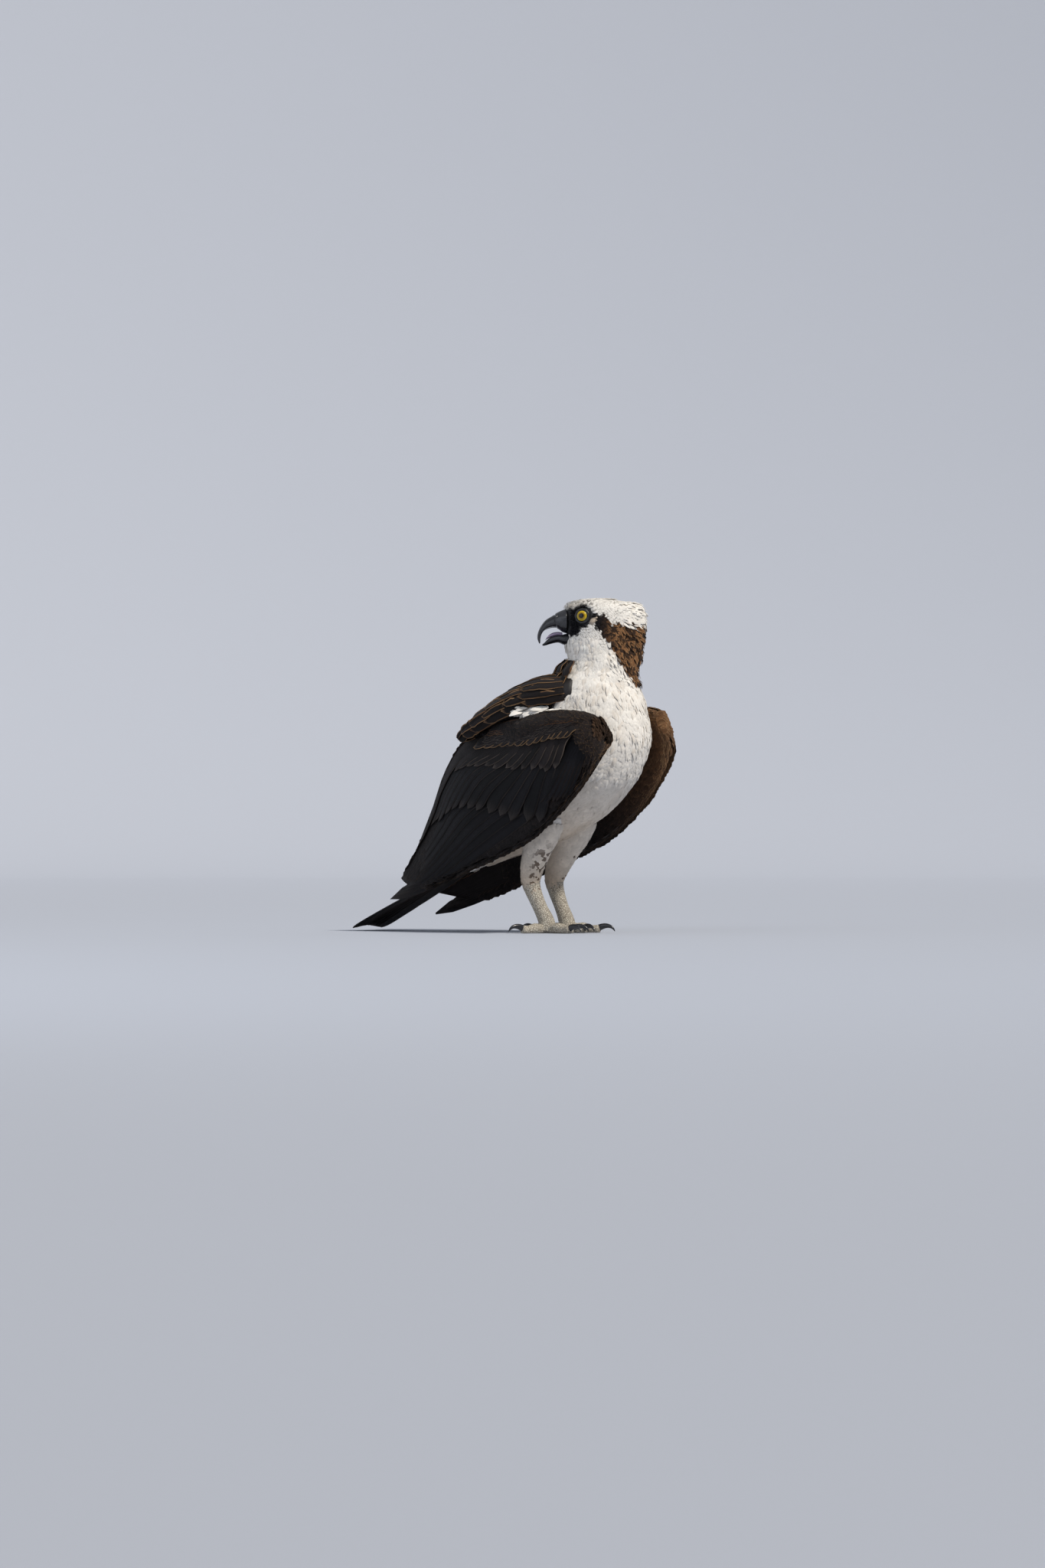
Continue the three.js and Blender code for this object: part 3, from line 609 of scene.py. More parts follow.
def laid(surface: Surface, vane: Vane, roots: Array, tips: Array, half: Array, tint: Array, fringe: Array,
         rng: Generator, sink: Array | None = None, bake_span: float = 1.0) -> MeshData:
    """Long feathers that follow a surface from a root (s, t) to a tip (s, t).

    The height above the surface rises smoothly from sink to lift over the first 60 per cent.

    Returns:
        The mesh arrays of all of them.
    """
    u = np.linspace(0, 1, vane.rows)
    path = roots[:, None] + (tips - roots)[:, None] * u[None, :, None]
    s, t = path[..., 0], path[..., 1]
    base = surface.points(s, t)
    out = surface.normals(s, t)
    way = unit(np.gradient(base, axis=1))
    low = np.full(len(roots), vane.sink) if sink is None else sink
    height = low[:, None] + (vane.lift - low)[:, None] * smooth(0, 0.6, u)[None]
    centre = base + out * height[..., None]
    spot = np.clip(roots * np.array((1, 1 / bake_span)) * 0.9 + 0.05, 0.01, 0.99)
    return feathers(vane, centre, unit(np.cross(out, way)), out, half, spot, tint, fringe, rng)


def grown(vane: Vane, bend: float, root: Array, normal: Array, flow: Array, length: Array, half: Array,
          lift: Array, bake: Array, tint: Array, fringe: Array, rng: Generator) -> MeshData:
    """Short body feathers from roots on the skin: each runs along flow, and curves down with the body.

    The centre line is root + flow * d - normal * bend * d^2 / 2 + normal * lift * smooth(u).

    Returns:
        The mesh arrays of all of them.
    """
    u = np.linspace(0, 1, vane.rows)
    along_flow = length[:, None] * u[None]
    rise = vane.sink + lift[:, None] * smooth(0, 0.8, u)[None] - bend * along_flow**2 / 2
    centre = root[:, None] + flow[:, None] * along_flow[..., None] + normal[:, None] * rise[..., None]
    across = np.repeat(unit(np.cross(normal, flow))[:, None], vane.rows, axis=1)
    tilt = np.repeat(normal[:, None], vane.rows, axis=1)
    return feathers(vane, centre, across, tilt, half, bake, tint, fringe, rng)


def scatter(surface: Surface, spacing: float, s_span: Pair, t_span: Pair,
            rng: Generator) -> tuple[Array, Array]:
    """Roots spread evenly over part of a surface: rows along s, each with as many roots as fit.

    Returns:
        The s and t of every root, with a little jitter.
    """
    fine = np.linspace(*s_span, 80)
    middle = np.full_like(fine, np.mean(t_span))
    run = np.linalg.norm(np.diff(surface.points(fine, middle), axis=0), axis=1).sum()
    rows = max(int(run / (spacing * 0.8)), 2)
    turns = np.linspace(*t_span, 60)
    found_s, found_t = [], []
    for k, s in enumerate(np.linspace(*s_span, rows)):
        ring = surface.points(np.full_like(turns, s), turns)
        count = max(int(np.linalg.norm(np.diff(ring, axis=0), axis=1).sum() / spacing), 3)
        step = (t_span[1] - t_span[0]) / count
        found_t.append(t_span[0] + step * (np.arange(count) + 0.5 * (k % 2) + rng.uniform(0.1, 0.6, count)))
        found_s.append(s + (s_span[1] - s_span[0]) / rows * rng.uniform(-0.4, 0.4, count))
    return np.concatenate(found_s), np.concatenate(found_t)


def bake_spot(s: Array, t: Array, turn: float = TURN) -> Array:
    """Places on the bake map for roots at s and t, on the unwrap of the same surface."""
    return np.stack((np.clip(s, 0, 1), (t / turn) % 1.0), -1) * 0.96 + 0.02


# Finishes

def new_group(name: str, inputs: dict[str, float], outputs: tuple[str, ...]) -> bpy.types.NodeTree:
    """A shader node group that takes and gives numbers.

    Args:
        name: the group's name.
        inputs: name and value of each number that it takes.
        outputs: name of each number that it gives.

    Returns:
        The group, with its input and output nodes.
    """
    group = bpy.data.node_groups.new(name, "ShaderNodeTree")
    for key, value in inputs.items():
        group.interface.new_socket(key, in_out="INPUT", socket_type="NodeSocketFloat").default_value = value
    for key in outputs:
        group.interface.new_socket(key, in_out="OUTPUT", socket_type="NodeSocketFloat")
    group.nodes.new("NodeGroupInput").name = "in"
    group.nodes.new("NodeGroupOutput").name = "out"
    return group


def feed(tree: bpy.types.NodeTree, socket: Socket, value: object) -> None:
    """Links an input to a result socket, or sets it to a number or a colour."""
    if isinstance(value, bpy.types.NodeSocket):
        tree.links.new(value, socket)
    else:
        socket.default_value = value


def math_node(tree: bpy.types.NodeTree, kind: str, *operands: object, clamp: bool = False) -> Socket:
    """A Math node fed by sockets or numbers; returns its result socket."""
    node = tree.nodes.new("ShaderNodeMath")
    node.operation, node.use_clamp = kind, clamp
    for socket, value in zip(node.inputs, operands):
        feed(tree, socket, value)
    return node.outputs[0]


def mix_colour(tree: bpy.types.NodeTree, kind: str, factor: object, a: object, b: object) -> Socket:
    """A Mix node for colours fed by sockets or values; returns its result socket."""
    node = tree.nodes.new("ShaderNodeMix")
    node.data_type, node.blend_type, node.clamp_factor = "RGBA", kind, True
    for place_in_node, value in ((0, factor), (6, a), (7, b)):
        feed(tree, node.inputs[place_in_node], value)
    return node.outputs[2]


def shaded(tree: bpy.types.NodeTree, colour: Socket, share: Socket) -> Socket:
    """A colour multiplied by a number that changes over the surface."""
    grey = tree.nodes.new("ShaderNodeCombineColor")
    for socket in grey.inputs[:3]:
        tree.links.new(share, socket)
    return mix_colour(tree, "MULTIPLY", 1.0, colour, grey.outputs[0])


def object_texture(tree: bpy.types.NodeTree, kind: str, scale: float) -> bpy.types.Node:
    """A texture node of some kind on the object's own coordinates."""
    where = tree.nodes.new("ShaderNodeTexCoord")
    texture = tree.nodes.new(kind)
    texture.inputs["Scale"].default_value = scale
    tree.links.new(where.outputs["Object"], texture.inputs["Vector"])
    return texture


def object_noise(tree: bpy.types.NodeTree, scale: float, detail: float = 3.0) -> Socket:
    """Noise on the object's own coordinates; returns its factor socket."""
    noise = object_texture(tree, "ShaderNodeTexNoise", scale)
    noise.inputs["Detail"].default_value = detail
    return noise.outputs[0]


def bump_from(tree: bpy.types.NodeTree, height: Socket, strength: float, distance: float) -> Socket:
    """A Bump node on a height; returns its normal socket."""
    bump = tree.nodes.new("ShaderNodeBump")
    for name, value in (("Strength", strength), ("Distance", distance), ("Height", height)):
        feed(tree, bump.inputs[name], value)
    return bump.outputs[0]


def attribute(tree: bpy.types.NodeTree, name: str) -> Socket:
    """The colour socket of a mesh attribute."""
    node = tree.nodes.new("ShaderNodeAttribute")
    node.attribute_name = name
    return node.outputs["Color"]


def new_material(name: str) -> tuple[bpy.types.Material, bpy.types.NodeTree]:
    """A material with its tree."""
    material = bpy.data.materials.new(name)
    material.use_nodes = True
    return material, material.node_tree


def dress(tree: bpy.types.NodeTree, **values: object) -> None:
    """Feeds the sockets of the Principled shader; an underscore stands for a space in a name."""
    for name, value in values.items():
        feed(tree, tree.nodes["Principled BSDF"].inputs[name.replace("_", " ")], value)


def vane_group() -> bpy.types.NodeTree:
    """Barbs, edge and shaft of a feather from its own map: x across, y along.

    Barbs are a fine wave that slants away from the shaft, the edge is a mask near the rim and the tip.
    """
    tree = new_group("vane marks", {"Barbs": 40.0, "Edge": 0.22}, ("Barb", "Edge", "Shaft"))
    barbs, edge = tree.nodes["in"].outputs[:2]
    uv = tree.nodes.new("ShaderNodeUVMap")
    uv.uv_map = "Vane"
    split = tree.nodes.new("ShaderNodeSeparateXYZ")
    tree.links.new(uv.outputs[0], split.inputs[0])
    across, ahead = split.outputs[:2]
    off = math_node(tree, "ABSOLUTE", math_node(tree, "MULTIPLY_ADD", across, 2.0, -1.0))
    slant = math_node(tree, "SUBTRACT", ahead, math_node(tree, "MULTIPLY", off, 0.35))
    rows = math_node(tree, "MULTIPLY", slant, barbs)
    wave = math_node(tree, "SINE", math_node(tree, "MULTIPLY", rows, TURN))
    rim, tip = (math_node(tree, "DIVIDE", math_node(tree, "SUBTRACT", part, 1.0), edge)
                for part in (off, ahead))
    near = math_node(tree, "MAXIMUM", rim, math_node(tree, "MULTIPLY", tip, 1.6))
    near = math_node(tree, "ADD", near, 1.0, clamp=True)
    results = (math_node(tree, "MULTIPLY_ADD", wave, 0.5, 0.5),
               math_node(tree, "POWER", near, 1.6, clamp=True), math_node(tree, "LESS_THAN", off, 0.09))
    for socket, result in zip(tree.nodes["out"].inputs, results):
        tree.links.new(result, socket)
    return tree


@dataclass(frozen=True)
class FeatherFinish:
    """Plumage: web and edge colours from the mesh, barbs as bump, a soft sheen."""

    name: str
    barbs: float
    edge: float
    bump: float
    roughness: float = 0.72
    sheen: float = 0.04
    specular: float = 0.14
    shaft: float = 0.35  # how much darker the shaft is
    barb_shade: float = 0.12

    def build(self) -> bpy.types.Material:
        """The finished material."""
        material, tree = new_material(self.name)
        marks = tree.nodes.new("ShaderNodeGroup")
        marks.node_tree = bpy.data.node_groups.get("vane marks") or vane_group()
        marks.inputs[0].default_value, marks.inputs[1].default_value = self.barbs, self.edge
        barb, edge, shaft = marks.outputs[:3]
        web = mix_colour(tree, "MIX", edge, attribute(tree, "Tint"), attribute(tree, "Fringe"))
        soft = math_node(tree, "MULTIPLY_ADD", object_noise(tree, 60.0), 0.5, 0.76)
        soft = math_node(tree, "SUBTRACT", soft, math_node(tree, "MULTIPLY", shaft, self.shaft))
        rows = math_node(tree, "MULTIPLY_ADD", barb, self.barb_shade, 0.92)
        dress(tree, Base_Color=shaded(tree, web, math_node(tree, "MULTIPLY", soft, rows)),
              Normal=bump_from(tree, barb, self.bump, 0.0004), Roughness=self.roughness,
              Sheen_Weight=self.sheen, Specular_IOR_Level=self.specular)
        return material


@dataclass(frozen=True)
class HornFinish:
    """Bill and claws: near black with a bluish gloss, growth streaks, and a dull waxy root."""

    name: str
    colour: Rgba = (0.010, 0.011, 0.016, 1)
    worn: Rgba = (0.035, 0.036, 0.044, 1)
    roughness: float = 0.24

    def build(self) -> bpy.types.Material:
        """The finished material."""
        material, tree = new_material(self.name)
        streak = object_noise(tree, 190.0, 5.0)
        wear = math_node(tree, "POWER", streak, 3.0, clamp=True)
        base = mix_colour(tree, "MIX", wear, self.colour, self.worn)
        dress(tree, Base_Color=mix_colour(tree, "MIX", 0.5, base, attribute(tree, "Tint")),
              Roughness=math_node(tree, "MULTIPLY_ADD", streak, 0.3, self.roughness - 0.1),
              Normal=bump_from(tree, streak, 0.12, 0.0005), Coat_Weight=0.4, Coat_Roughness=0.15)
        return material


@dataclass(frozen=True)
class ScaleFinish:
    """Scaly skin of tarsi and toes: small rounded scales with dark creases."""

    name: str
    scales: float = 420.0
    pale: Rgba = (0.58, 0.53, 0.44, 1)
    crease: Rgba = (0.20, 0.17, 0.13, 1)

    def build(self) -> bpy.types.Material:
        """The finished material."""
        material, tree = new_material(self.name)
        cells = object_texture(tree, "ShaderNodeTexVoronoi", self.scales)
        cells.feature = "DISTANCE_TO_EDGE"
        raised = math_node(tree, "MULTIPLY", cells.outputs[0], 5.0, clamp=True)
        stain = math_node(tree, "ADD", object_noise(tree, 55.0), 0.45)
        stained = math_node(tree, "MULTIPLY", raised, stain, clamp=True)
        dress(tree, Base_Color=mix_colour(tree, "MIX", stained, self.crease, self.pale),
              Normal=bump_from(tree, raised, 0.7, 0.0006), Roughness=0.62)
        return material


@dataclass(frozen=True)
class EyeFinish:
    """The eye: the mesh carries pupil and iris, noise gives the iris fine rays, and a wet clear coat."""

    name: str = "wet eye"

    def build(self) -> bpy.types.Material:
        """The finished material."""
        material, tree = new_material(self.name)
        rays = math_node(tree, "MULTIPLY_ADD", object_noise(tree, 900.0, 2.0), 0.7, 0.65)
        dress(tree, Base_Color=shaded(tree, attribute(tree, "Tint"), rays), Roughness=0.3,
              Specular_IOR_Level=0.1, Coat_Weight=0.8, Coat_Roughness=0.03)
        return material


@dataclass(frozen=True)
class SoftFinish:
    """Moist flesh or bare skin: the mesh's colour with a fine pebbled bump."""

    name: str
    roughness: float
    pebbles: float
    coat: float = 0.0
    creases: Rgba = (0.6, 0.6, 0.62, 1)

    def build(self) -> bpy.types.Material:
        """The finished material."""
        material, tree = new_material(self.name)
        grain = object_noise(tree, self.pebbles)
        dress(tree, Base_Color=mix_colour(tree, "MULTIPLY", grain, attribute(tree, "Tint"), self.creases),
              Normal=bump_from(tree, grain, 0.35, 0.0006), Roughness=self.roughness, Coat_Weight=self.coat)
        return material


# Markings

def jitter(rng: Generator, colour: Array, amount: float) -> Array:
    """Colours made a little lighter or darker, feather by feather."""
    return np.clip(colour * (1 + amount * rng.standard_normal((len(colour), 1))), 0.003, 0.9)


def repeated(tint: Array, count: int) -> Array:
    """One colour for many feathers."""
    return np.tile(tint, (count, 1))


@dataclass(frozen=True)
class HeadMarks:
    """Black mask through the eye, brown nape with rusty edges, white crown, cheek and throat.

    The borders are heights in the head's frame at places ahead of its middle, from the bill to the nape.
    """

    dark_share: float = 0.55  # share of the nape's feathers that are nearly black
    stripe_top: tuple[Pair, ...] = ((60, 8), (30, 10), (3.8, 7.6), (-6.7, 4.8), (-13.3, -4.8), (-30, -4.5),
                                    (-52, -8.6))
    stripe_low: tuple[Pair, ...] = ((60, -2), (12, -3), (7.6, -6.7), (-1.9, -19), (-11.4, -30.4),
                                    (-19, -42.8), (-21.9, -52.3), (-30.4, -63.7), (-39, -78.9), (-50, -95))
    gape: tuple[Pair, ...] = ((40, -20), (27, -17.5), (22, -10))
    eye_line: tuple[Pair, ...] = ((13, -6.5), (4, 2.5))

    @staticmethod
    def border(line: tuple[Pair, ...], ahead: Array) -> Array:
        """Height of a border at each place ahead."""
        table = np.array(line)[::-1]
        return np.interp(ahead, table[:, 0], table[:, 1])

    def colours(self, points: Array, rng: Generator) -> tuple[Array, Array]:
        """Web and edge colour of feathers that reach points."""
        ahead, left, up = head_coordinates(points)
        wobble = rng.normal(0, 1.3, len(points)) * (1 + smooth(5, -15, ahead))
        side = np.abs(left)
        stripe = (smooth(-1.5, 1.5, self.border(self.stripe_top, ahead) - up + wobble)
                  * smooth(-1.5, 1.5, up - self.border(self.stripe_low, ahead) + wobble)
                  * smooth(13, 9, ahead + wobble))
        mantle = smooth(-45, -52, up) * smooth(35, 40, ahead + wobble)
        lores = (smooth(19, 25, ahead + wobble) * smooth(17, 13, up + wobble) * smooth(6, 12, side)
                 * smooth(-2, 1, up - self.border(self.gape, ahead) + wobble * 0.5))
        around = smooth(15.5, 12.5, np.hypot(ahead - EYE_PLACE[0], up - EYE_PLACE[2]) + wobble * 0.3)
        black = np.maximum(np.maximum(lores, around * smooth(8, 14, side)), mantle)
        crown = smooth(16, 20, up + wobble) * smooth(4, 12, ahead) * (rng.random(len(points)) < 0.16)
        back = smooth(6, -14, ahead)
        warm = rng.random(len(points))
        warm = np.where(warm < self.dark_share, 0.03, warm) * smooth(4, -24, ahead)
        brown = mix(BLACK, mix(BROWN, RUST, warm), back)
        tint = mix(mix(mix(WHITE, brown, stripe), BLACK, black), BROWN, crown * 0.8)
        fringe = mix(tint, BUFF, stripe * back * warm)
        line = smooth(2.4, 1.0, np.abs(up - self.border(self.eye_line, ahead))) * (side > 14)
        line = line * smooth(3, 5, ahead) * smooth(14, 12, ahead)
        return jitter(rng, mix(tint, CREAM, line), 0.05), mix(fringe, CREAM, line)


# The bird's parts

@dataclass(frozen=True)
class Skin:
    """One skin under the body feathers: torso, shoulder humps, neck, head and feathered legs."""

    body_grid: tuple[int, int] = (60, 72)
    hump_grid: tuple[int, int] = (30, 40)
    leg_grid: tuple[int, int] = (30, 36)

    def build(self, material: bpy.types.Material) -> None:
        """Makes the skin, inside the solids by the coat's depth."""
        depth = -COAT_DEPTH
        parts = [shell(surface, *self.body_grid, tint=WHITE) for surface in (Torso(depth), HeadNeck(depth))]
        for side in Side:
            parts.append(shell(Limb(HUMP, side, depth), *self.hump_grid, (0.02, 0.9), tint=DARK))
            parts.append(shell(Limb(LEG, side, depth + 1), *self.leg_grid, (0, HEEL_SHARE + 0.1), tint=WHITE))
        for k, part in enumerate(parts):
            part.bake = np.array((k % 3 / 3, k // 3 / 2)) + part.bake * np.array((0.32, 0.48)) + 0.005
        data = MeshData.joined(parts)
        ahead, left, up = head_coordinates(data.points)
        eye = smooth(16, 13, np.hypot(ahead - EYE_PLACE[0], up - EYE_PLACE[2])) * (np.abs(left) > 8)
        data.tint = mix(data.tint, BLACK, np.maximum(eye, (ahead > 24) * smooth(-20, -17, up) * (up < 14)))
        add_piece("skin", data, material, PALE, "torso", "neck", "head", "thigh_left", "thigh_right")


@dataclass
class BodyCoat:
    """Small feathers of breast, belly, back, neck, head and legs."""

    down: bpy.types.Material
    plumage: bpy.types.Material
    rng: Generator
    marks: HeadMarks = HeadMarks()
    body_spacing: float = 3.3
    head_spacing: float = 2.3
    leg_spacing: float = 2.9
    lock_counts: tuple[int, int] = (1500, 900)  # over the breast, over the neck
    crest_count: int = 1700
    crown_count: int = 600
    tuft_count: int = 130

    def build(self) -> None:
        """Makes every piece of the coat."""
        for part in (self.torso, self.locks, self.mantle, self.head, self.crest, self.crown, self.legs,
                     self.shoulders):
            part()

    def torso(self) -> None:
        """White breast and belly with painted shade, dark back and rump; the feathers run from the neck to
        the tail.
        """
        surface = Torso(-COAT_DEPTH)
        s, t = scatter(surface, self.body_spacing, (0.03, 0.985), (0, TURN), self.rng)
        root, normal, away, around = surface.frame(s, t)
        tuft, turn = clumps(s, t), folded(t)
        flow = unit(around * (0.22 * tuft)[:, None] - away)
        edge = np.interp(s, (0, 0.3, 0.6, 0.8, 0.95), (0.9, 1.0, 1.15, 1.22, 1.25))
        dark = smooth(0.07, -0.07, turn - edge + self.rng.normal(0, 0.03, len(s)))
        # Painted shade: the belly is mixed towards cream, more towards the tail and underneath, and a little
        # in the troughs between the tufts.
        shade = smooth(0.7, 0.3, s) * smooth(1.2, 2.0, turn)
        white = mix(WHITE, CREAM, shade * 0.8 + 0.14 * smooth(0.2, -0.8, tuft))
        tint = jitter(self.rng, mix(white, DARK, dark), 0.04)
        fringe = mix(np.minimum(white * 1.04, 0.86), RUST, dark * 0.8)
        length = self.rng.uniform(11, 17, len(s)) * (1 + 0.25 * smooth(0.7, 0.95, s))
        lift = 2.6 + 0.9 * tuft + self.rng.uniform(-0.2, 0.3, len(s))
        half = length * (0.2 + 0.06 * dark)
        arrays = (root, normal, flow, length, half, lift, bake_spot(s, t), tint, fringe)
        vane = Vane(Outline.BODY, camber=0.18, sink=0.2)
        for name, part, slot in (("coat_breast", dark < 0.5, PALE), ("coat_back", dark >= 0.5, PLUMES)):
            data = grown(vane, 0.013, *(array[part] for array in arrays), self.rng)
            add_piece(name, data, self.down, slot)

    def locks(self) -> None:
        """Longer, pointed feathers that hang loosely over throat, neck and upper breast."""
        parts = []
        for neck, surface, count, span in ((False, Torso(-COAT_DEPTH), self.lock_counts[0], (0.56, 0.97)),
                                           (True, HeadNeck(-COAT_DEPTH), self.lock_counts[1], (0.5, 0.93))):
            s, t = self.rng.uniform(*span, count), self.rng.uniform(1.35, TURN - 1.35, count)
            if neck:
                t = self.rng.uniform(-1.9, 1.9, count)
            root, normal, away, around = surface.frame(s, t)
            sway = 0.32 * np.sin(9 * t + 2.4 * np.sin(9 * s)) + self.rng.normal(0, 0.1, count)
            stand = self.rng.uniform(0, 0.1, count)
            flow = unit(away * (1 if neck else -1) + around * sway[:, None] + normal * stand[:, None])
            length = self.rng.uniform(15, 25, count) * (0.75 if neck else 1.0)
            shade = self.rng.random(count) ** 2 * 0.4
            tint = mix(WHITE, CREAM, shade)
            if neck:
                tint, _ = self.marks.colours(root + flow * (0.6 * length)[:, None], self.rng)
                tint = mix(tint, tint * np.array((0.75, 0.66, 0.56)), shade)
            half, lift = self.rng.uniform(1.8, 3.2, count), self.rng.uniform(2.2, 3.6, count)
            vane = Vane(Outline.LOCK, rows=6, camber=0.3)
            parts.append(grown(vane, 0.014, root, normal, flow, length, half, lift, bake_spot(s, t), tint,
                               tint, self.rng))
        add_piece("breast_locks", MeshData.joined(parts), self.down, PALE)

    def mantle(self) -> None:
        """Dark feathers with rusty edges from the nape over the top of the back, between the shoulders."""
        parts = []
        for root_s, tip_s, count, reach, lift in ((0.985, 0.85, 9, 1.25, 6.5), (0.94, 0.78, 9, 1.2, 6.0),
                                                  (0.88, 0.7, 8, 1.05, 5.0), (0.8, 0.6, 7, 0.8, 3.5)):
            turn = np.linspace(-reach, reach, count)
            roots = np.stack((root_s + self.rng.normal(0, 0.006, count), turn), -1)
            tips = np.stack((tip_s + self.rng.normal(0, 0.012, count), turn * 1.06), -1)
            vane = Vane(Outline.COVERT, rows=9, cols=5, thick=0.45, camber=0.13, roll=0.6, sink=-2.5,
                        lift=lift)
            fringe = mix(RUST, BUFF, self.rng.random(count) * 0.7)
            tint = jitter(self.rng, repeated(DARK, count), 0.3)
            parts.append(laid(Torso(0.0, 0.0), vane, roots, tips, np.full(count, 8.0), tint, fringe, self.rng,
                              bake_span=TURN))
        add_piece("mantle", MeshData.joined(parts), self.plumage, PLUMES)

    def head(self) -> None:
        """Short feathers that run back over the crown, back and down the cheek, and down the neck."""
        surface = HeadNeck(-COAT_DEPTH)
        s, t = scatter(surface, self.head_spacing, (0.03, 0.95), (0, TURN), self.rng)
        root = surface.points(s, t)
        ahead, left, up = head_coordinates(root)
        bill = (ahead > 37) & (up < 13) & (up > -31) & (np.abs(left) < 12.5)
        eye = in_head(EYE_PLACE[0], np.sign(left) * EYE_PLACE[1], EYE_PLACE[2])
        bare = bill | (np.linalg.norm(root - eye, axis=-1) < 11.3)
        s, t, ahead, up = s[~bare], t[~bare], ahead[~bare], up[~bare]
        root, normal, _, _ = surface.frame(s, t)
        back = 1 - 0.9 * smooth(-8, -48, up)
        down = 0.1 + smooth(12, -40, up) - 0.9 * smooth(34, 44, ahead) * smooth(2, 10, up)
        flow = tangent(head_direction(-back, 0 * up, -down), normal)
        nape = smooth(-24, -44, ahead) * smooth(-60, -30, up) * smooth(27, 20, up)
        neck = smooth(-20, -50, up)
        lock = np.sin(11 * t + 2 * np.sin(7 * s)) * (0.6 + 0.4 * np.sin(31 * s + 3 * t))
        flow = unit(flow + unit(np.cross(normal, flow)) * (0.28 * neck * lock)[:, None])
        face = smooth(12, 34, ahead) * smooth(-20, 0, up)
        length = (5.5 + 8.5 * neck + 8.5 * nape + self.rng.uniform(0, 2.2, len(s))) * (1 - 0.45 * face)
        half = length * (0.24 - 0.09 * np.maximum(nape, neck))
        tint, fringe = self.marks.colours(root + flow * (0.6 * length)[:, None], self.rng)
        stand = self.rng.random(len(s)) ** 2
        lift = 2.4 + nape * (1.5 + 7 * stand) * smooth(-75, -60, up) + neck * (1.0 + 2.0 * lock)
        # Painted shade: the neck's feathers are darker and warmer in the troughs between the locks.
        tint = mix(tint, tint * np.array((0.72, 0.62, 0.52)), 0.6 * neck * smooth(0.3, -0.7, lock))
        data = grown(Vane(Outline.BODY, camber=0.25, sink=0.2), 0.018, root, normal, flow, length, half, lift,
                     bake_spot(s, t), tint, fringe, self.rng)
        add_piece("coat_head", data, self.down, PALE)

    def crest(self) -> None:
        """Pointed locks behind the crown, white above and rusty brown down the nape."""
        count = self.crest_count
        level = 21 - 92 * self.rng.random(count) ** 0.8
        t = math.pi + self.rng.uniform(-1, 1, count) * (1.05 + 0.4 * smooth(0, -20, level))
        share = np.interp(-level, -np.array([row[0] for row in HEAD]), np.linspace(0, 1, len(HEAD)))
        root, normal, _, _ = HeadNeck(-COAT_DEPTH).frame(share, t)
        flow = head_direction(0 * t - 1, 0 * t, -0.12 - 2.4 * smooth(16, -30, level))
        stand = 0.04 + 0.42 * self.rng.random(count) ** 2
        close = 1 - 0.3 * smooth(-12, 6, level)
        flow = unit(tangent(flow, normal, close[:, None]) + normal * stand[:, None])
        length = self.rng.uniform(12, 20, count) * (1 - 0.22 * np.abs(t - math.pi))
        length = length * (1 - 0.3 * smooth(-50, -70, level))
        tint, fringe = HeadMarks(0.36).colours(root + flow * (0.6 * length)[:, None], self.rng)
        half, lift = self.rng.uniform(1.1, 2.2, count), self.rng.uniform(0.5, 2.6, count)
        data = grown(Vane(Outline.LOCK, rows=6, camber=0.3), 0.006, root, normal, flow, length, half, lift,
                     bake_spot(share, t), tint, fringe, self.rng)
        add_piece("crest", data, self.down, PALE)

    def crown(self) -> None:
        """Feathers over the flat top of the skull, where the head's sections close."""
        count = self.crown_count
        ahead, left = self.rng.uniform(-16, 14, count), self.rng.uniform(-11, 11, count)
        reach = np.hypot((ahead + 1) / 14, left / 11)
        ahead, left, reach = ahead[reach < 1], left[reach < 1], reach[reach < 1]
        count = len(ahead)
        root = in_head(ahead, left, 25.9 - 1.2 * reach**2)
        normal = np.tile((0.0, 0.0, 1.0), (count, 1))
        flow = unit(head_direction(0 * ahead - 1, left * 0.02, 0 * ahead - 0.06))
        length = self.rng.uniform(6, 9, count)
        tint, fringe = self.marks.colours(root, self.rng)
        data = grown(Vane(Outline.BODY, camber=0.25), 0.006, root, normal, flow, length, length * 0.22,
                     self.rng.uniform(2.1, 2.7, count), (np.stack((ahead, left), -1) + 26) / 56, tint, fringe,
                     self.rng)
        add_piece("crown", data, self.down, PALE)

    def legs(self) -> None:
        """Short close feathers of the trousers, cream with a few brown streaks inside."""
        for side in Side:
            surface = Limb(LEG, side, 1.6 - COAT_DEPTH)
            s, t = scatter(surface, self.leg_spacing, (0.04, HEEL_SHARE + 0.1), (0, TURN), self.rng)
            root, normal, flow, _ = surface.frame(s, t)
            towards = normal @ np.array((side.value * 0.3, -0.95, 0))
            streaked = 0.75 if side is Side.RIGHT else 0.03
            inner = smooth(0.3, 0.7, towards) * smooth(0.08, 0.2, s) * (self.rng.random(len(s)) < streaked)
            inner = inner * (np.sin(75 * s + 2 * np.sin(6 * t)) > 0)
            cream = 0.45 + 0.5 * smooth(0.15, HEEL_SHARE, s)
            tint = mix(mix(WHITE, CREAM, cream), BROWN * 2.5, inner * 0.85)
            low = smooth(0.3, HEEL_SHARE + 0.1, s)
            length = self.rng.uniform(8, 12, len(s)) * (1 - 0.62 * low)
            lift = self.rng.uniform(1.2, 1.9, len(s)) - 0.6 * low
            data = grown(Vane(Outline.BODY, rows=4, camber=0.25, sink=0.2), 0.015, root, normal, flow, length,
                         length * 0.26, lift, bake_spot(s, t), jitter(self.rng, tint, 0.05), tint, self.rng)
            add_piece(f"coat_leg_{side.word}", data, self.down, PALE)

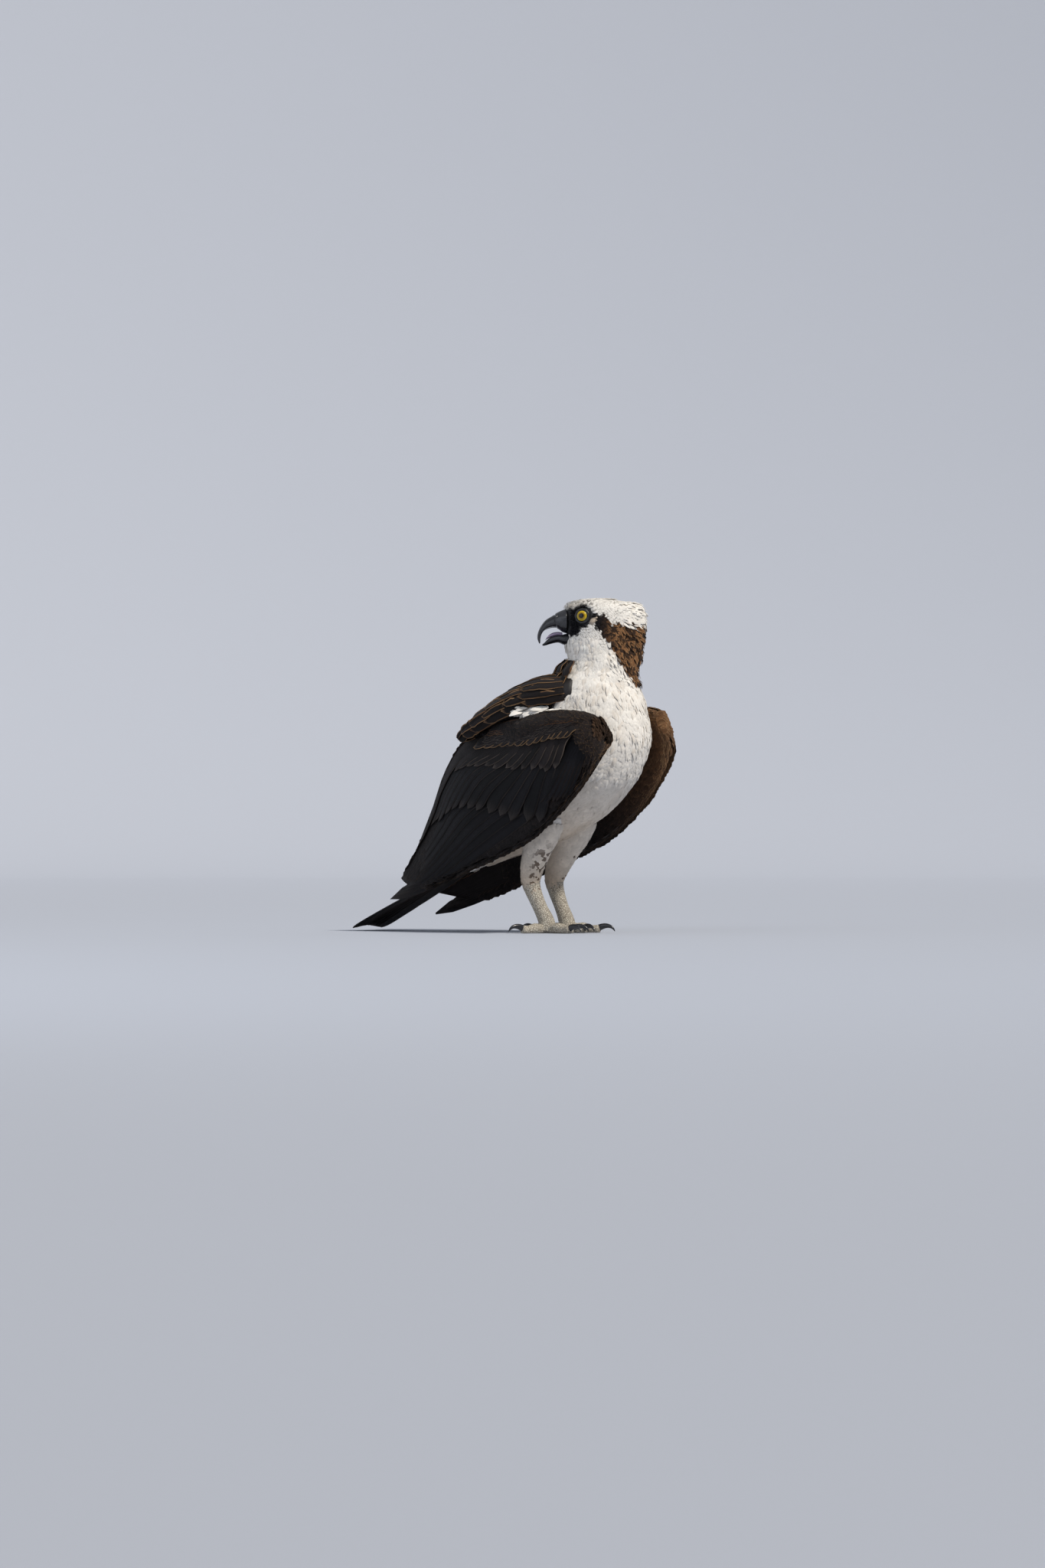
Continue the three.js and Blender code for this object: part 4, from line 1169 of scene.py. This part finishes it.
    def shoulders(self) -> None:
        """Scapulars over both humps in tiers, dark with rusty fringes, and a white tuft under each."""
        tiers = [(0.08, 0.3, 11, 8.5, 3.4), (0.2, 0.42, 10, 9, 3), (0.32, 0.55, 9, 9.5, 2.6),
                 (0.44, 0.7, 8, 10, 2.2), (0.56, 0.83, 7, 9.5, 1.8), (0.68, 0.97, 6, 7, 1.2)]
        for side in Side:
            parts = []
            for root_s, tip_s, count, half, lift in tiers:
                turn = np.linspace(-3.3, 0.25, count)
                t = turn if side is Side.LEFT else math.pi - turn
                noise = self.rng.normal(0, 0.012, (2, count))
                roots = np.stack((root_s + noise[0], t), -1)
                tip_t = t + self.rng.normal(0, 0.04, count)
                tips = np.stack((np.clip(tip_s + noise[1], 0, 0.985), tip_t), -1)
                vane = Vane(Outline.COVERT, rows=9, cols=5, thick=0.45, camber=0.13, roll=0.8, sink=-1,
                            lift=lift)
                tint = jitter(self.rng, repeated(DARK, count), 0.3)
                fringe = mix(RUST, BUFF, self.rng.random(count) * 0.8)
                halves = np.full(count, float(half))
                parts.append(laid(Limb(HUMP, side, -1.0), vane, roots, tips, halves, tint, fringe, self.rng,
                                  bake_span=TURN))
            add_piece(f"scapulars_{side.word}", MeshData.joined(parts), self.plumage, PLUMES)
            self.side_tuft(side)

    def side_tuft(self, side: Side) -> None:
        """White breast-side feathers that spill over the top edge of the wing."""
        count, sign = self.tuft_count, np.array((side.value, 1, 1))
        f = self.rng.random(count)
        start, end = place(60, 70, 270), place(66, -2, 277)
        root = (start + (end - start) * f[:, None] + self.rng.normal(0, 2.2, (count, 3))) * sign
        normal = np.tile(unit(place(0.75, 0.1, 0.65)), (count, 1)) * sign
        flow = unit(place(0.55, -0.75, -0.35) + self.rng.normal(0, 0.12, (count, 3))) * sign
        tint = jitter(self.rng, repeated(WHITE, count), 0.05)
        length = self.rng.uniform(14, 24, count)
        bake = np.stack((f, self.rng.random(count)), -1) * 0.9 + 0.05
        data = grown(Vane(Outline.BODY, rows=6, camber=0.25), 0.02, root, normal, flow, length, length * 0.2,
                     self.rng.uniform(1, 4, count), bake, tint, tint, self.rng)
        add_piece(f"side_tuft_{side.word}", data, self.down, PALE)


@dataclass(frozen=True)
class Tier:
    """One tier of wing feathers: its first and last root and tip on the wing's face."""

    name: str
    count: int
    roots: tuple[Pair, Pair]
    tips: tuple[Pair, Pair]
    half: float
    lift: float
    outline: Outline
    tint: Array
    fringe: Array
    fringed: float  # how strong the edge colour is


WING_TIERS = [
    Tier("primaries", 8, ((0.24, 0.2), (0.36, 0.46)), ((0.99, 0.14), (0.87, 0.8)), 10, -2.2, Outline.FLIGHT,
         BLACK, GREY, 0.25),
    Tier("secondaries", 13, ((0.13, 0.7), (0.44, 0.8)), ((0.5, 0.05), (0.79, 0.9)), 11, 0.4, Outline.FLIGHT,
         BLACK, GREY, 0.35),
    Tier("tertials", 4, ((0.4, 0.84), (0.46, 0.93)), ((0.7, 0.93), (0.86, 0.98)), 11, 2.0, Outline.COVERT,
         DARK, GREY, 0.5),
    Tier("primary coverts", 6, ((0.1, 0.3), (0.14, 0.46)), ((0.36, 0.03), (0.44, 0.16)), 8, 0.8,
         Outline.COVERT, BLACK, BROWN, 0.6),
    Tier("greater coverts", 13, ((0.13, 0.74), (0.44, 0.84)), ((0.31, 0.3), (0.62, 0.84)), 10, 2.4,
         Outline.COVERT, DARK, GREY, 0.9),
    Tier("median coverts", 14, ((0.1, 0.8), (0.42, 0.9)), ((0.2, 0.54), (0.52, 0.86)), 9, 4.2, Outline.COVERT,
         DARK, BUFF, 0.65),
]
LESSER_ROWS = 7


def lesser_tier(row: int) -> Tier:
    """The rows of small coverts over the forearm, from the lowest, longest ones up to its edge."""
    up = row / (LESSER_ROWS - 1)
    first, last = (0.13 - 0.06 * up, 0.80 + 0.13 * up), (0.42 - 0.02 * up, 0.915 + 0.075 * up)
    step = (0.105 - 0.03 * up, -0.15 + 0.04 * up)
    tips = ((first[0] + step[0], first[1] + step[1]), (last[0] + step[0] * 0.8, last[1] + step[1] * 0.35))
    return Tier(f"lesser coverts {row}", 24 + row, (first, last), tips, 6.4 - 1.3 * up, 5.0 + 1.6 * up,
                Outline.COVERT, DARK, GREY if row < 4 else RUST, 0.85)


@dataclass
class WingPlumage:
    """One folded, drooping wing: its flesh, small coverts over the edges and tiers of long feathers."""

    side: Side
    rng: Generator
    covert_spacing: float = 4.2
    wrist_count: int = 260
    flesh_span: Pair = (0.02, 0.93)

    def tier(self, spec: Tier, small: bool = False) -> MeshData:
        """All feathers of one tier, from the first root and tip to the last."""
        f = np.linspace(0, 1, spec.count)
        roots, tips = (mix(np.array(ends[0]), np.array(ends[1]), f) for ends in (spec.roots, spec.tips))
        tips = tips + self.rng.normal(0, 0.005, tips.shape)
        rows = 22 if spec.outline is Outline.FLIGHT else 7 if small else 13
        vane = Vane(spec.outline, rows=rows, cols=5 if small else 7, thick=0.45, camber=0.08,
                    roll=0.5 if small else 0.9, lift=spec.lift, ragged=0.02)
        tint = jitter(self.rng, repeated(spec.tint, spec.count), 0.25)
        fringe = mix(tint, spec.fringe, spec.fringed * self.rng.uniform(0.6, 1.2, spec.count))
        half = spec.half * self.rng.uniform(0.92, 1.08, spec.count)
        sink = core_rise(roots[:, 0], roots[:, 1]) - 1.2
        return laid(Wing(self.side), vane, roots, tips, half, tint, fringe, self.rng, sink=sink)

    def small_coverts(self) -> MeshData:
        """Little feathers over the wrist, the forearm's edge and the whole underside."""
        surface, near_camera = WingCore(self.side), self.side is Side.RIGHT
        s, t = scatter(surface, self.covert_spacing, (0.01, 0.9), (0.0, 1.0), self.rng)
        span, inner = surface.span(t)
        wrist = s < (0.13 if near_camera else 0.2)
        keep = inner | wrist | (span > 0.9) | (span < 0.1) | ((span > 0.76) & (s < 0.4))
        s, t, span, inner = s[keep], t[keep], span[keep], inner[keep]
        root, normal, away, around = surface.frame(s, t)
        normal = outward(normal, root - surface.points(s, (1 - t) % 1.0))
        flow = unit(away - around * (np.where(inner, -0.25, 0.5) * (1 - smooth(0.8, 1, span)))[:, None])
        # Partly painted light: the brown and rust near the wrist is the feathers' own, but the far wing's
        # outer face gets all of it, as if in sun, and the near wing's only a little, as if in shade.
        warm = 0.15 if near_camera else 1.0
        near = smooth(0.6, 0.05, s) * np.where(inner, 1.0, warm)
        tint = mix(DARK, mix(BROWN, RUST, 0.6 * warm), near * 0.9)
        fringe = mix(tint, BUFF, near * 0.8 + 0.14)
        root = root + normal * np.where(inner | ((span < 0.8) & (s > 0.2)) | (s > 0.4), 0.0, 2.6)[:, None]
        length = self.rng.uniform(10, 14, len(s)) * (1 - 0.3 * smooth(0.12, 0, s))
        lift = self.rng.uniform(1.0, 2.0, len(s))
        return grown(Vane(Outline.BODY, camber=0.2), 0.012, root, normal, flow, length, length * 0.34, lift,
                     bake_spot(s, t, 1.0), jitter(self.rng, tint, 0.2), fringe, self.rng)

    def wrist(self) -> MeshData:
        """Small feathers that lie outward across the wrist, where the ring of the flesh closes."""
        surface, count = WingCore(self.side), self.wrist_count
        start = self.flesh_span[0]
        s, t = np.full(count, start), self.rng.random(count)
        ring = surface.points(s, t)
        middle = ring.mean(axis=0)
        outer, inner = surface.points(np.array((start, start)), np.array((0.25, 0.75)))
        ahead = unit(-surface.slopes(s, t)[0].mean(axis=0))
        reach = np.sqrt(self.rng.random(count))[:, None]
        normal = unit(ahead + unit(ring - middle) * 0.5 * reach)
        flow = tangent(outer - inner + self.rng.normal(0, 3.0, (count, 3)), normal)
        root = middle + (ring - middle) * reach + ahead * 1.5 * (1 - reach**2) - flow * 3
        # Partly painted light: the wrist's brown is its own, and the far wing's is mixed further towards rust
        # with buff edges, as if in sun.
        warm = 0.1 if self.side is Side.RIGHT else 0.6
        tint = jitter(self.rng, repeated(mix(BROWN, RUST, warm), count), 0.2)
        length = self.rng.uniform(8, 12, count)
        bake = np.stack((np.full(count, 0.01), t), -1)
        return grown(Vane(Outline.BODY, camber=0.2), 0.03, root, normal, flow, length, length * 0.34,
                     self.rng.uniform(0.6, 1.6, count), bake, tint, mix(tint, BUFF, warm), self.rng)

    def build(self, material: bpy.types.Material) -> None:
        """Makes the wing's pieces; the flesh stands for the wing's solid."""
        word = self.side.word
        flesh = shell(WingCore(self.side), 60, 48, self.flesh_span, turn=1.0, tint=DARK)
        add_piece(f"wing_flesh_{word}", flesh, material, PLUMES, f"wing_{word}")
        small = [self.tier(lesser_tier(row), small=True) for row in range(LESSER_ROWS)]
        long = MeshData.joined([self.tier(spec) for spec in WING_TIERS] + small)
        add_piece(f"wing_feathers_{word}", long, material, PLUMES)
        coverts = MeshData.joined([self.small_coverts(), self.wrist()])
        add_piece(f"wing_coverts_{word}", coverts, material, PLUMES)


@dataclass
class TailPlumage:
    """Twelve tail feathers under their coverts, the outer pairs below the inner ones."""

    rng: Generator
    pairs: int = 6
    half: float = 8.6

    def build(self, dark: bpy.types.Material, pale: bpy.types.Material) -> None:
        """Makes the tail's pieces; the feathers stand for the tail's solid."""
        parts = []
        for k in range(self.pairs):
            for side in Side:
                root = np.array([[0.2, side.value * (0.05 + 0.1 * k)]])
                tip = np.array([[0.995 - 0.012 * k, side.value * (0.09 + 0.155 * k)]])
                vane = Vane(Outline.FLIGHT, rows=30, cols=9, thick=0.5, camber=0.07, roll=-0.45 * side.value,
                            sink=0.5, lift=2.2 - 0.5 * k, ragged=0.015)
                tint = jitter(self.rng, repeated(DARK, 1), 0.15)
                parts.append(laid(Tail(), vane, root, tip, np.array([self.half]), tint, mix(tint, GREY, 0.8),
                                  self.rng))
        add_piece("tail_feathers", MeshData.joined(parts), dark, PLUMES, "tail")
        self.coverts("tail_coverts", -math.pi / 2, 0.62, DARK, RUST, dark, PLUMES)
        self.coverts("vent_coverts", math.pi / 2, 0.3, WHITE, CREAM, pale, PALE)

    def coverts(self, name: str, centre: float, reach: float, colour: Array, edge: Array,
                material: bpy.types.Material, slot: str) -> None:
        """Coverts round one side of the tail's root, about the turn centre and as far along as reach."""
        table = [(0, forward, up, half * 0.92, max(thick * 0.42, 3.0))
                 for forward, up, half, thick, _ in TAIL[:5]]
        surface = Limb(table, Side.LEFT)
        s, t = scatter(surface, 4.6, (0.0, reach), (centre - 1.5, centre + 1.5), self.rng)
        root, normal, flow, _ = surface.frame(s, t)
        tint = jitter(self.rng, repeated(colour, len(s)), 0.1)
        length = self.rng.uniform(16, 24, len(s))
        bake = np.stack((s, (t - centre) / 3 + 0.5), -1) * 0.9 + 0.05
        vane = Vane(Outline.BODY, rows=6, camber=0.2, sink=-0.6)
        data = grown(vane, 0.0, root, normal, flow, length, length * 0.27, self.rng.uniform(0.8, 1.8, len(s)),
                     bake, tint, mix(tint, edge, 0.6), self.rng)
        add_piece(name, data, material, slot)


@dataclass(frozen=True)
class Eye:
    """One eye: its middle, the way it looks and two directions square to that."""

    side: Side
    iris: Pair = (3.2, 6.0)  # from the middle of the look to the iris's inner and outer edge
    pupil_colour: tuple[float, float, float] = (0.004, 0.004, 0.004)

    def ring(self, q: Array) -> tuple[Array, Array, Array]:
        """The eye's middle, its look, and directions round it at the turn q."""
        way = head_direction(*unit(np.array(EYE_LOOK) * (1, self.side.value, 1)))
        across = unit(np.cross(way, (0, 0, 1.0)))
        centre = in_head(EYE_PLACE[0], self.side.value * EYE_PLACE[1], EYE_PLACE[2])
        return centre, way, across * np.cos(q)[..., None] + np.cross(across, way) * np.sin(q)[..., None]

    def ball(self) -> MeshData:
        """The eyeball, a sphere about the look with a slightly raised cornea."""
        a, q = ring_grid(90, 64, (0.004, math.pi - 0.004))
        centre, way, ring = self.ring(q)
        radius = EYE_RADIUS * (1 + 0.035 * np.exp(-((a / 0.6) ** 2)))
        points = centre + radius[..., None] * (way * np.cos(a)[..., None] + ring * np.sin(a)[..., None])
        off = EYE_RADIUS * np.sin(a) * (a < math.pi / 2) + 20.0 * (a >= math.pi / 2)
        amber = mix(np.array((0.30, 0.17, 0.004)), np.array((0.52, 0.37, 0.008)), smooth(*self.iris, off))
        black = np.maximum(smooth(3.2, 2.9, off), smooth(5.9, 6.4, off))
        return grid_mesh(points, mix(amber, np.array(self.pupil_colour), black))

    def lid(self) -> MeshData:
        """The lid, a wrinkled ring round the part of the eye that shows."""
        q, p = ring_grid(97, 24, (0.0, TURN))
        centre, way, ring = self.ring(q)
        tube = 1.7 + 0.12 * np.sin(9 * q + 3 * p)
        points = centre + ring * (7.9 + tube * np.cos(p))[..., None]
        return grid_mesh(points + way * (4.7 + 0.9 * tube * np.sin(p))[..., None], BLACK)


@dataclass(frozen=True)
class Face:
    """Bill, tongue, eyes and lids, all in the head's frame."""

    cere_end: float = 0.3  # share of the upper bill that the cere covers
    cere_colour: tuple[float, float, float] = (0.03, 0.03, 0.034)
    tongue_colour: tuple[float, float, float] = (0.42, 0.33, 0.46)

    def upper_bill(self) -> MeshData:
        """The upper bill: the cere swells, a groove parts it from the horn, nostrils are slits in it."""
        rows, cols, span = 90, 72, (0.02, 1)
        s, t = ring_grid(rows, cols, span)
        surface = Bill(UPPER_BILL)
        points, normal, _, _ = surface.frame(s, t)
        normal = outward(normal, points - surface.points(s, t + math.pi))
        turn = folded(t)
        groove = -0.55 * np.exp(-(((s - self.cere_end) / 0.012) ** 2))
        swell = 0.5 * smooth(self.cere_end, self.cere_end - 0.03, s)
        slit = np.exp(-(np.hypot((s - 0.235) / 0.028, (turn - 0.95 - (s - 0.235) * 5) / 0.13) ** 2))
        beneath = 1.6 * smooth(2.0, 2.7, turn) * smooth(0.15, 0.35, s) * smooth(1, 0.7, s)
        points = points + normal * (groove + swell - 1.5 * slit - beneath)[..., None]
        cere = smooth(self.cere_end + 0.01, self.cere_end - 0.02, s) * smooth(2.4, 1.9, turn)
        # Painted shade: the nostril slits are painted near black, for the dark inside the holes.
        tint = mix(mix(BLACK, np.array(self.cere_colour), cere), np.full(3, 0.004), np.clip(slit * 1.4, 0, 1))
        data = shell(surface, rows, cols, span)
        ring = cols + 1
        data.points[:ring], data.points[ring:-ring] = drawn_in(points[0]), points.reshape(-1, 3)
        data.tint[ring:-ring], data.tint[-ring:] = tint.reshape(-1, 3), BLACK
        return data

    @staticmethod
    def lower_bill() -> MeshData:
        """The lower bill, hollowed along its top."""
        data = shell(Bill(LOWER_BILL), 60, 48, (0.02, 1), tint=BLACK)
        share, turn = data.vane.T
        _, left, _ = head_coordinates(data.points)
        hollow = smooth(0.12, 0.3, share) * smooth(0.95, 0.7, share) * (np.cos(turn * TURN) > 0.1)
        data.points[:, 2] -= 2.6 * hollow * np.exp(-((left / 5) ** 2))
        return data

    def tongue(self) -> MeshData:
        """The tongue, grooved down its middle."""
        data = shell(Bill(TONGUE), 40, 32, tint=np.array(self.tongue_colour))
        _, left, _ = head_coordinates(data.points)
        data.points[:, 2] -= 0.9 * np.exp(-((left / 1.3) ** 2)) * (np.cos(data.vane[:, 1] * TURN) > 0)
        return data

    def build(self, horn: bpy.types.Material) -> None:
        """Makes bill, tongue, eyes and lids, each with its own finish."""
        add_piece("upper_bill", self.upper_bill(), horn, "horn", "bill_upper")
        add_piece("lower_bill", self.lower_bill(), horn, "horn", "bill_lower")
        flesh = SoftFinish("tongue flesh", 0.35, 500, 0.4).build()
        add_piece("tongue_flesh", self.tongue(), flesh, "tongue", "tongue")
        wet, lid = EyeFinish().build(), SoftFinish("lid skin", 0.4, 600, 0.3).build()
        for side in Side:
            add_piece(f"eyeball_{side.word}", Eye(side).ball(), wet, "eye", f"eye_{side.word}")
            add_piece(f"lid_{side.word}", Eye(side).lid(), lid, "horn")


@dataclass(frozen=True)
class Toe:
    """One toe: where it points, in degrees outward from straight ahead, its length and root radius."""

    name: str
    turn: float
    length: float
    radius: float

    def axes(self, side: Side) -> tuple[Array, Array, Array]:
        """Where the toe starts on the floor, the way it points and the way across it."""
        ankle, turn = along(LEG, 1.0), math.radians(self.turn)
        way = place(side.value * math.sin(turn), math.cos(turn), 0)
        return place(side.value * ankle[0], ankle[1], 0), way, np.cross((0, 0, 1.0), way)


TOES = [Toe("hind", -168, 29, 7.2), Toe("inner", -17, 35, 7.2), Toe("middle", 14, 44, 7.6),
        Toe("outer", 112, 38, 7.2)]


@dataclass(frozen=True)
class Feet:
    """Scaly tarsi and toes with pads, and the curved claws."""

    tip_radius: float = 5.2
    toe_sink: float = 1.2
    joints: tuple[float, ...] = (0.4, -0.5, 0.4, -0.5, 0.4)  # bulges and waists along a toe
    scute_length: float = 3.4
    claw_arc: float = 27.0
    claw_radius: float = 4.0

    def toe(self, side: Side, toe: Toe) -> MeshData:
        """A toe as sections along its line, with a bulge at each joint and scutes across its top."""
        start, way, across = toe.axes(side)
        s, q = ring_grid(56, 32)
        shares = np.linspace(0, 1, len(self.joints))
        rows = np.stack((shares, toe.radius + (self.tip_radius - toe.radius) * shares + self.joints), -1)
        radius = along(rows, s)[..., 1]
        scutes = 0.28 * np.abs(np.sin(math.pi * toe.length * s / self.scute_length))
        scutes = scutes * smooth(0.2, 0.9, np.sin(q))
        close = np.sqrt(np.clip(1 - np.clip((s - 0.93) / 0.075, 0, 1) ** 2, 0.02, 1))
        size = (radius + scutes - 0.25) * close
        points = start + way * (toe.length * s)[..., None] + across * (size * np.cos(q))[..., None]
        points[..., 2] = np.maximum(radius - self.toe_sink + size * np.sin(q), 0.0)
        return grid_mesh(points, CREAM)

    def claw(self, side: Side, toe: Toe) -> MeshData:
        """A claw: a curved cone along a falling arc, deeper than it is wide."""
        start, way, across = toe.axes(side)
        s, q = ring_grid(40, 24)
        lean = np.radians(38 - 112 * s)
        radius = self.claw_radius * (1 - s) ** 0.75 + 0.12
        reach = toe.length + self.claw_arc * np.sin(s * 1.25) / 1.25 - 1.5
        rise = 6.3 + self.claw_arc * 0.62 * s * (0.72 - s * 1.02)
        up = np.array((0, 0, 1.0))
        centre = start + way * reach[..., None] + up * rise[..., None]
        over = up * np.cos(lean)[..., None] - way * np.sin(lean)[..., None]
        points = (centre + across * (radius * 0.8 * np.cos(q))[..., None]
                  + over * (radius * np.sin(q))[..., None])
        points[..., 2] = np.maximum(points[..., 2], 0.05)
        return grid_mesh(points, BLACK)

    def build(self, scaly: bpy.types.Material, horn: bpy.types.Material) -> None:
        """Makes tarsus, foot and claws of both sides."""
        for side in Side:
            tarsus = shell(Limb(LEG, side, -0.2), 50, 40, (HEEL_SHARE + 0.03, 0.93), tint=CREAM)
            tarsus.points[:, 2] = np.maximum(tarsus.points[:, 2], 0)
            add_piece(f"tarsus_skin_{side.word}", tarsus, scaly, "scaly_skin", f"tarsus_{side.word}")
            foot = MeshData.joined([self.toe(side, toe) for toe in TOES])
            add_piece(f"foot_skin_{side.word}", foot, scaly, "scaly_skin", f"foot_{side.word}")
            for toe in TOES:
                name = f"{toe.name}_{side.word}"
                add_piece(f"talon_{name}", self.claw(side, toe), horn, "horn", f"claw_{name}")


@dataclass(frozen=True)
class Studio:
    """Camera, lights and the pale sweep behind the bird, in metres where not said otherwise."""

    image_height_mm: float = 1945.6  # height of the picture at the bird
    distance: float = 6.0
    camera_height: float = 0.12
    flat: float = 7.5  # how far the floor runs before it curves up
    curve: float = 5.0  # how far it runs while it curves
    top: float = 7.0
    view_turn: float = math.radians(-55)
    aim: Pair = (-43.2, 184.3)  # right of the feet and up, in millimetres
    pale: Rgba = (0.47, 0.50, 0.57, 1)

    def axes(self) -> tuple[Vector, Vector]:
        """The picture's right and the way towards the camera."""
        right = Vector((math.cos(self.view_turn), math.sin(self.view_turn), 0))
        return right, Vector((math.sin(self.view_turn), -math.cos(self.view_turn), 0))

    @staticmethod
    def set_up(name: str, data: bpy.types.ID, spot: Vector, target: Vector) -> bpy.types.Object:
        """Links a camera or a light at a spot, turned towards a target."""
        obj = bpy.data.objects.new(name, data)
        obj.location = spot
        obj.rotation_euler = (target - obj.location).to_track_quat("-Z", "Y").to_euler()
        bpy.context.scene.collection.objects.link(obj)
        return obj

    def camera(self) -> None:
        """A long lens at the photograph's angle, near the floor."""
        right, back = self.axes()
        target = Vector((FOOT_SPREAD, 0, self.aim[1])) * MM + right * self.aim[0] * MM
        data = bpy.data.cameras.new("camera")
        data.sensor_fit = "VERTICAL"
        data.sensor_height = 36
        data.lens = data.sensor_height * self.distance / (self.image_height_mm * MM)
        data.clip_end = 40
        spot = target + back * self.distance
        spot.z = self.camera_height
        bpy.context.scene.camera = self.set_up("camera", data, spot, target)

    def lights(self) -> None:
        """A warm sun from the picture's upper right, a wide cool fill from the left, pale air all round."""
        right, back = self.axes()
        middle = Vector((FOOT_SPREAD * MM, 0, 0.22))
        key, fill = bpy.data.lights.new("key", "SUN"), bpy.data.lights.new("fill", "AREA")
        key.energy, key.color, key.angle = 2.9, (1, 0.95, 0.87), math.radians(5)
        fill.energy, fill.color, fill.size = 14, (0.84, 0.91, 1), 2.6
        self.set_up("key", key, middle + right + back * 0.85 + Vector((0, 0, 1.55)), middle)
        self.set_up("fill", fill, middle - right * 1.8 + back * 2.2 + Vector((0, 0, 1.2)), middle)
        world = bpy.data.worlds.new("studio air")
        world.use_nodes = True
        air = world.node_tree.nodes["Background"].inputs
        air[0].default_value, air[1].default_value = (0.74, 0.77, 0.82, 1), 0.42
        bpy.context.scene.world = world
        bpy.context.scene.view_settings.view_transform = "Standard"

    def sweep(self) -> None:
        """A floor all round that is flat near the bird and curves up far out, one pale colour."""
        level = np.linspace(0.0001, self.flat, 12)
        far = np.concatenate((level, np.linspace(self.flat, self.flat + self.curve, 50)[1:]))
        radius, q = np.meshgrid(far, np.linspace(0, TURN, 97), indexing="ij")
        rise = self.top * (np.clip(radius - self.flat, 0, None) / self.curve) ** 2 - 0.0004
        data = grid_mesh(np.stack((radius * np.cos(q), radius * np.sin(q), rise), -1) / MM, WHITE)
        data.quads = data.quads[:, ::-1]
        material, tree = new_material("pale sweep")
        grain = math_node(tree, "MULTIPLY", object_noise(tree, 3.0, 2.0), 0.04)
        dress(tree, Base_Color=mix_colour(tree, "MIX", grain, self.pale, (0.4, 0.43, 0.5, 1)), Roughness=0.95,
              Specular_IOR_Level=0.05)
        make_object("sweep", data, material)

    def build(self) -> None:
        """Sets up the studio."""
        self.camera()
        self.lights()
        self.sweep()


def main() -> None:
    """Builds the studio, then the bird part by part round the frame."""
    logging.basicConfig(level=logging.INFO, format="%(message)s")
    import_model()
    rng = np.random.default_rng(SEED)
    plumage = FeatherFinish("dark plumage", barbs=34, edge=0.2, bump=0.5).build()
    down = FeatherFinish("white plumage", barbs=14, edge=0.4, bump=0.2, roughness=0.85, shaft=0.04).build()
    horn = HornFinish("horn").build()
    Studio().build()
    Skin().build(SoftFinish("bare skin", 0.6, 300).build())
    BodyCoat(down, plumage, rng).build()
    for side in Side:
        WingPlumage(side, rng).build(plumage)
    TailPlumage(rng).build(plumage, down)
    Face().build(horn)
    Feet().build(ScaleFinish("scaly skin").build(), horn)


if __name__ == "__main__":
    main()
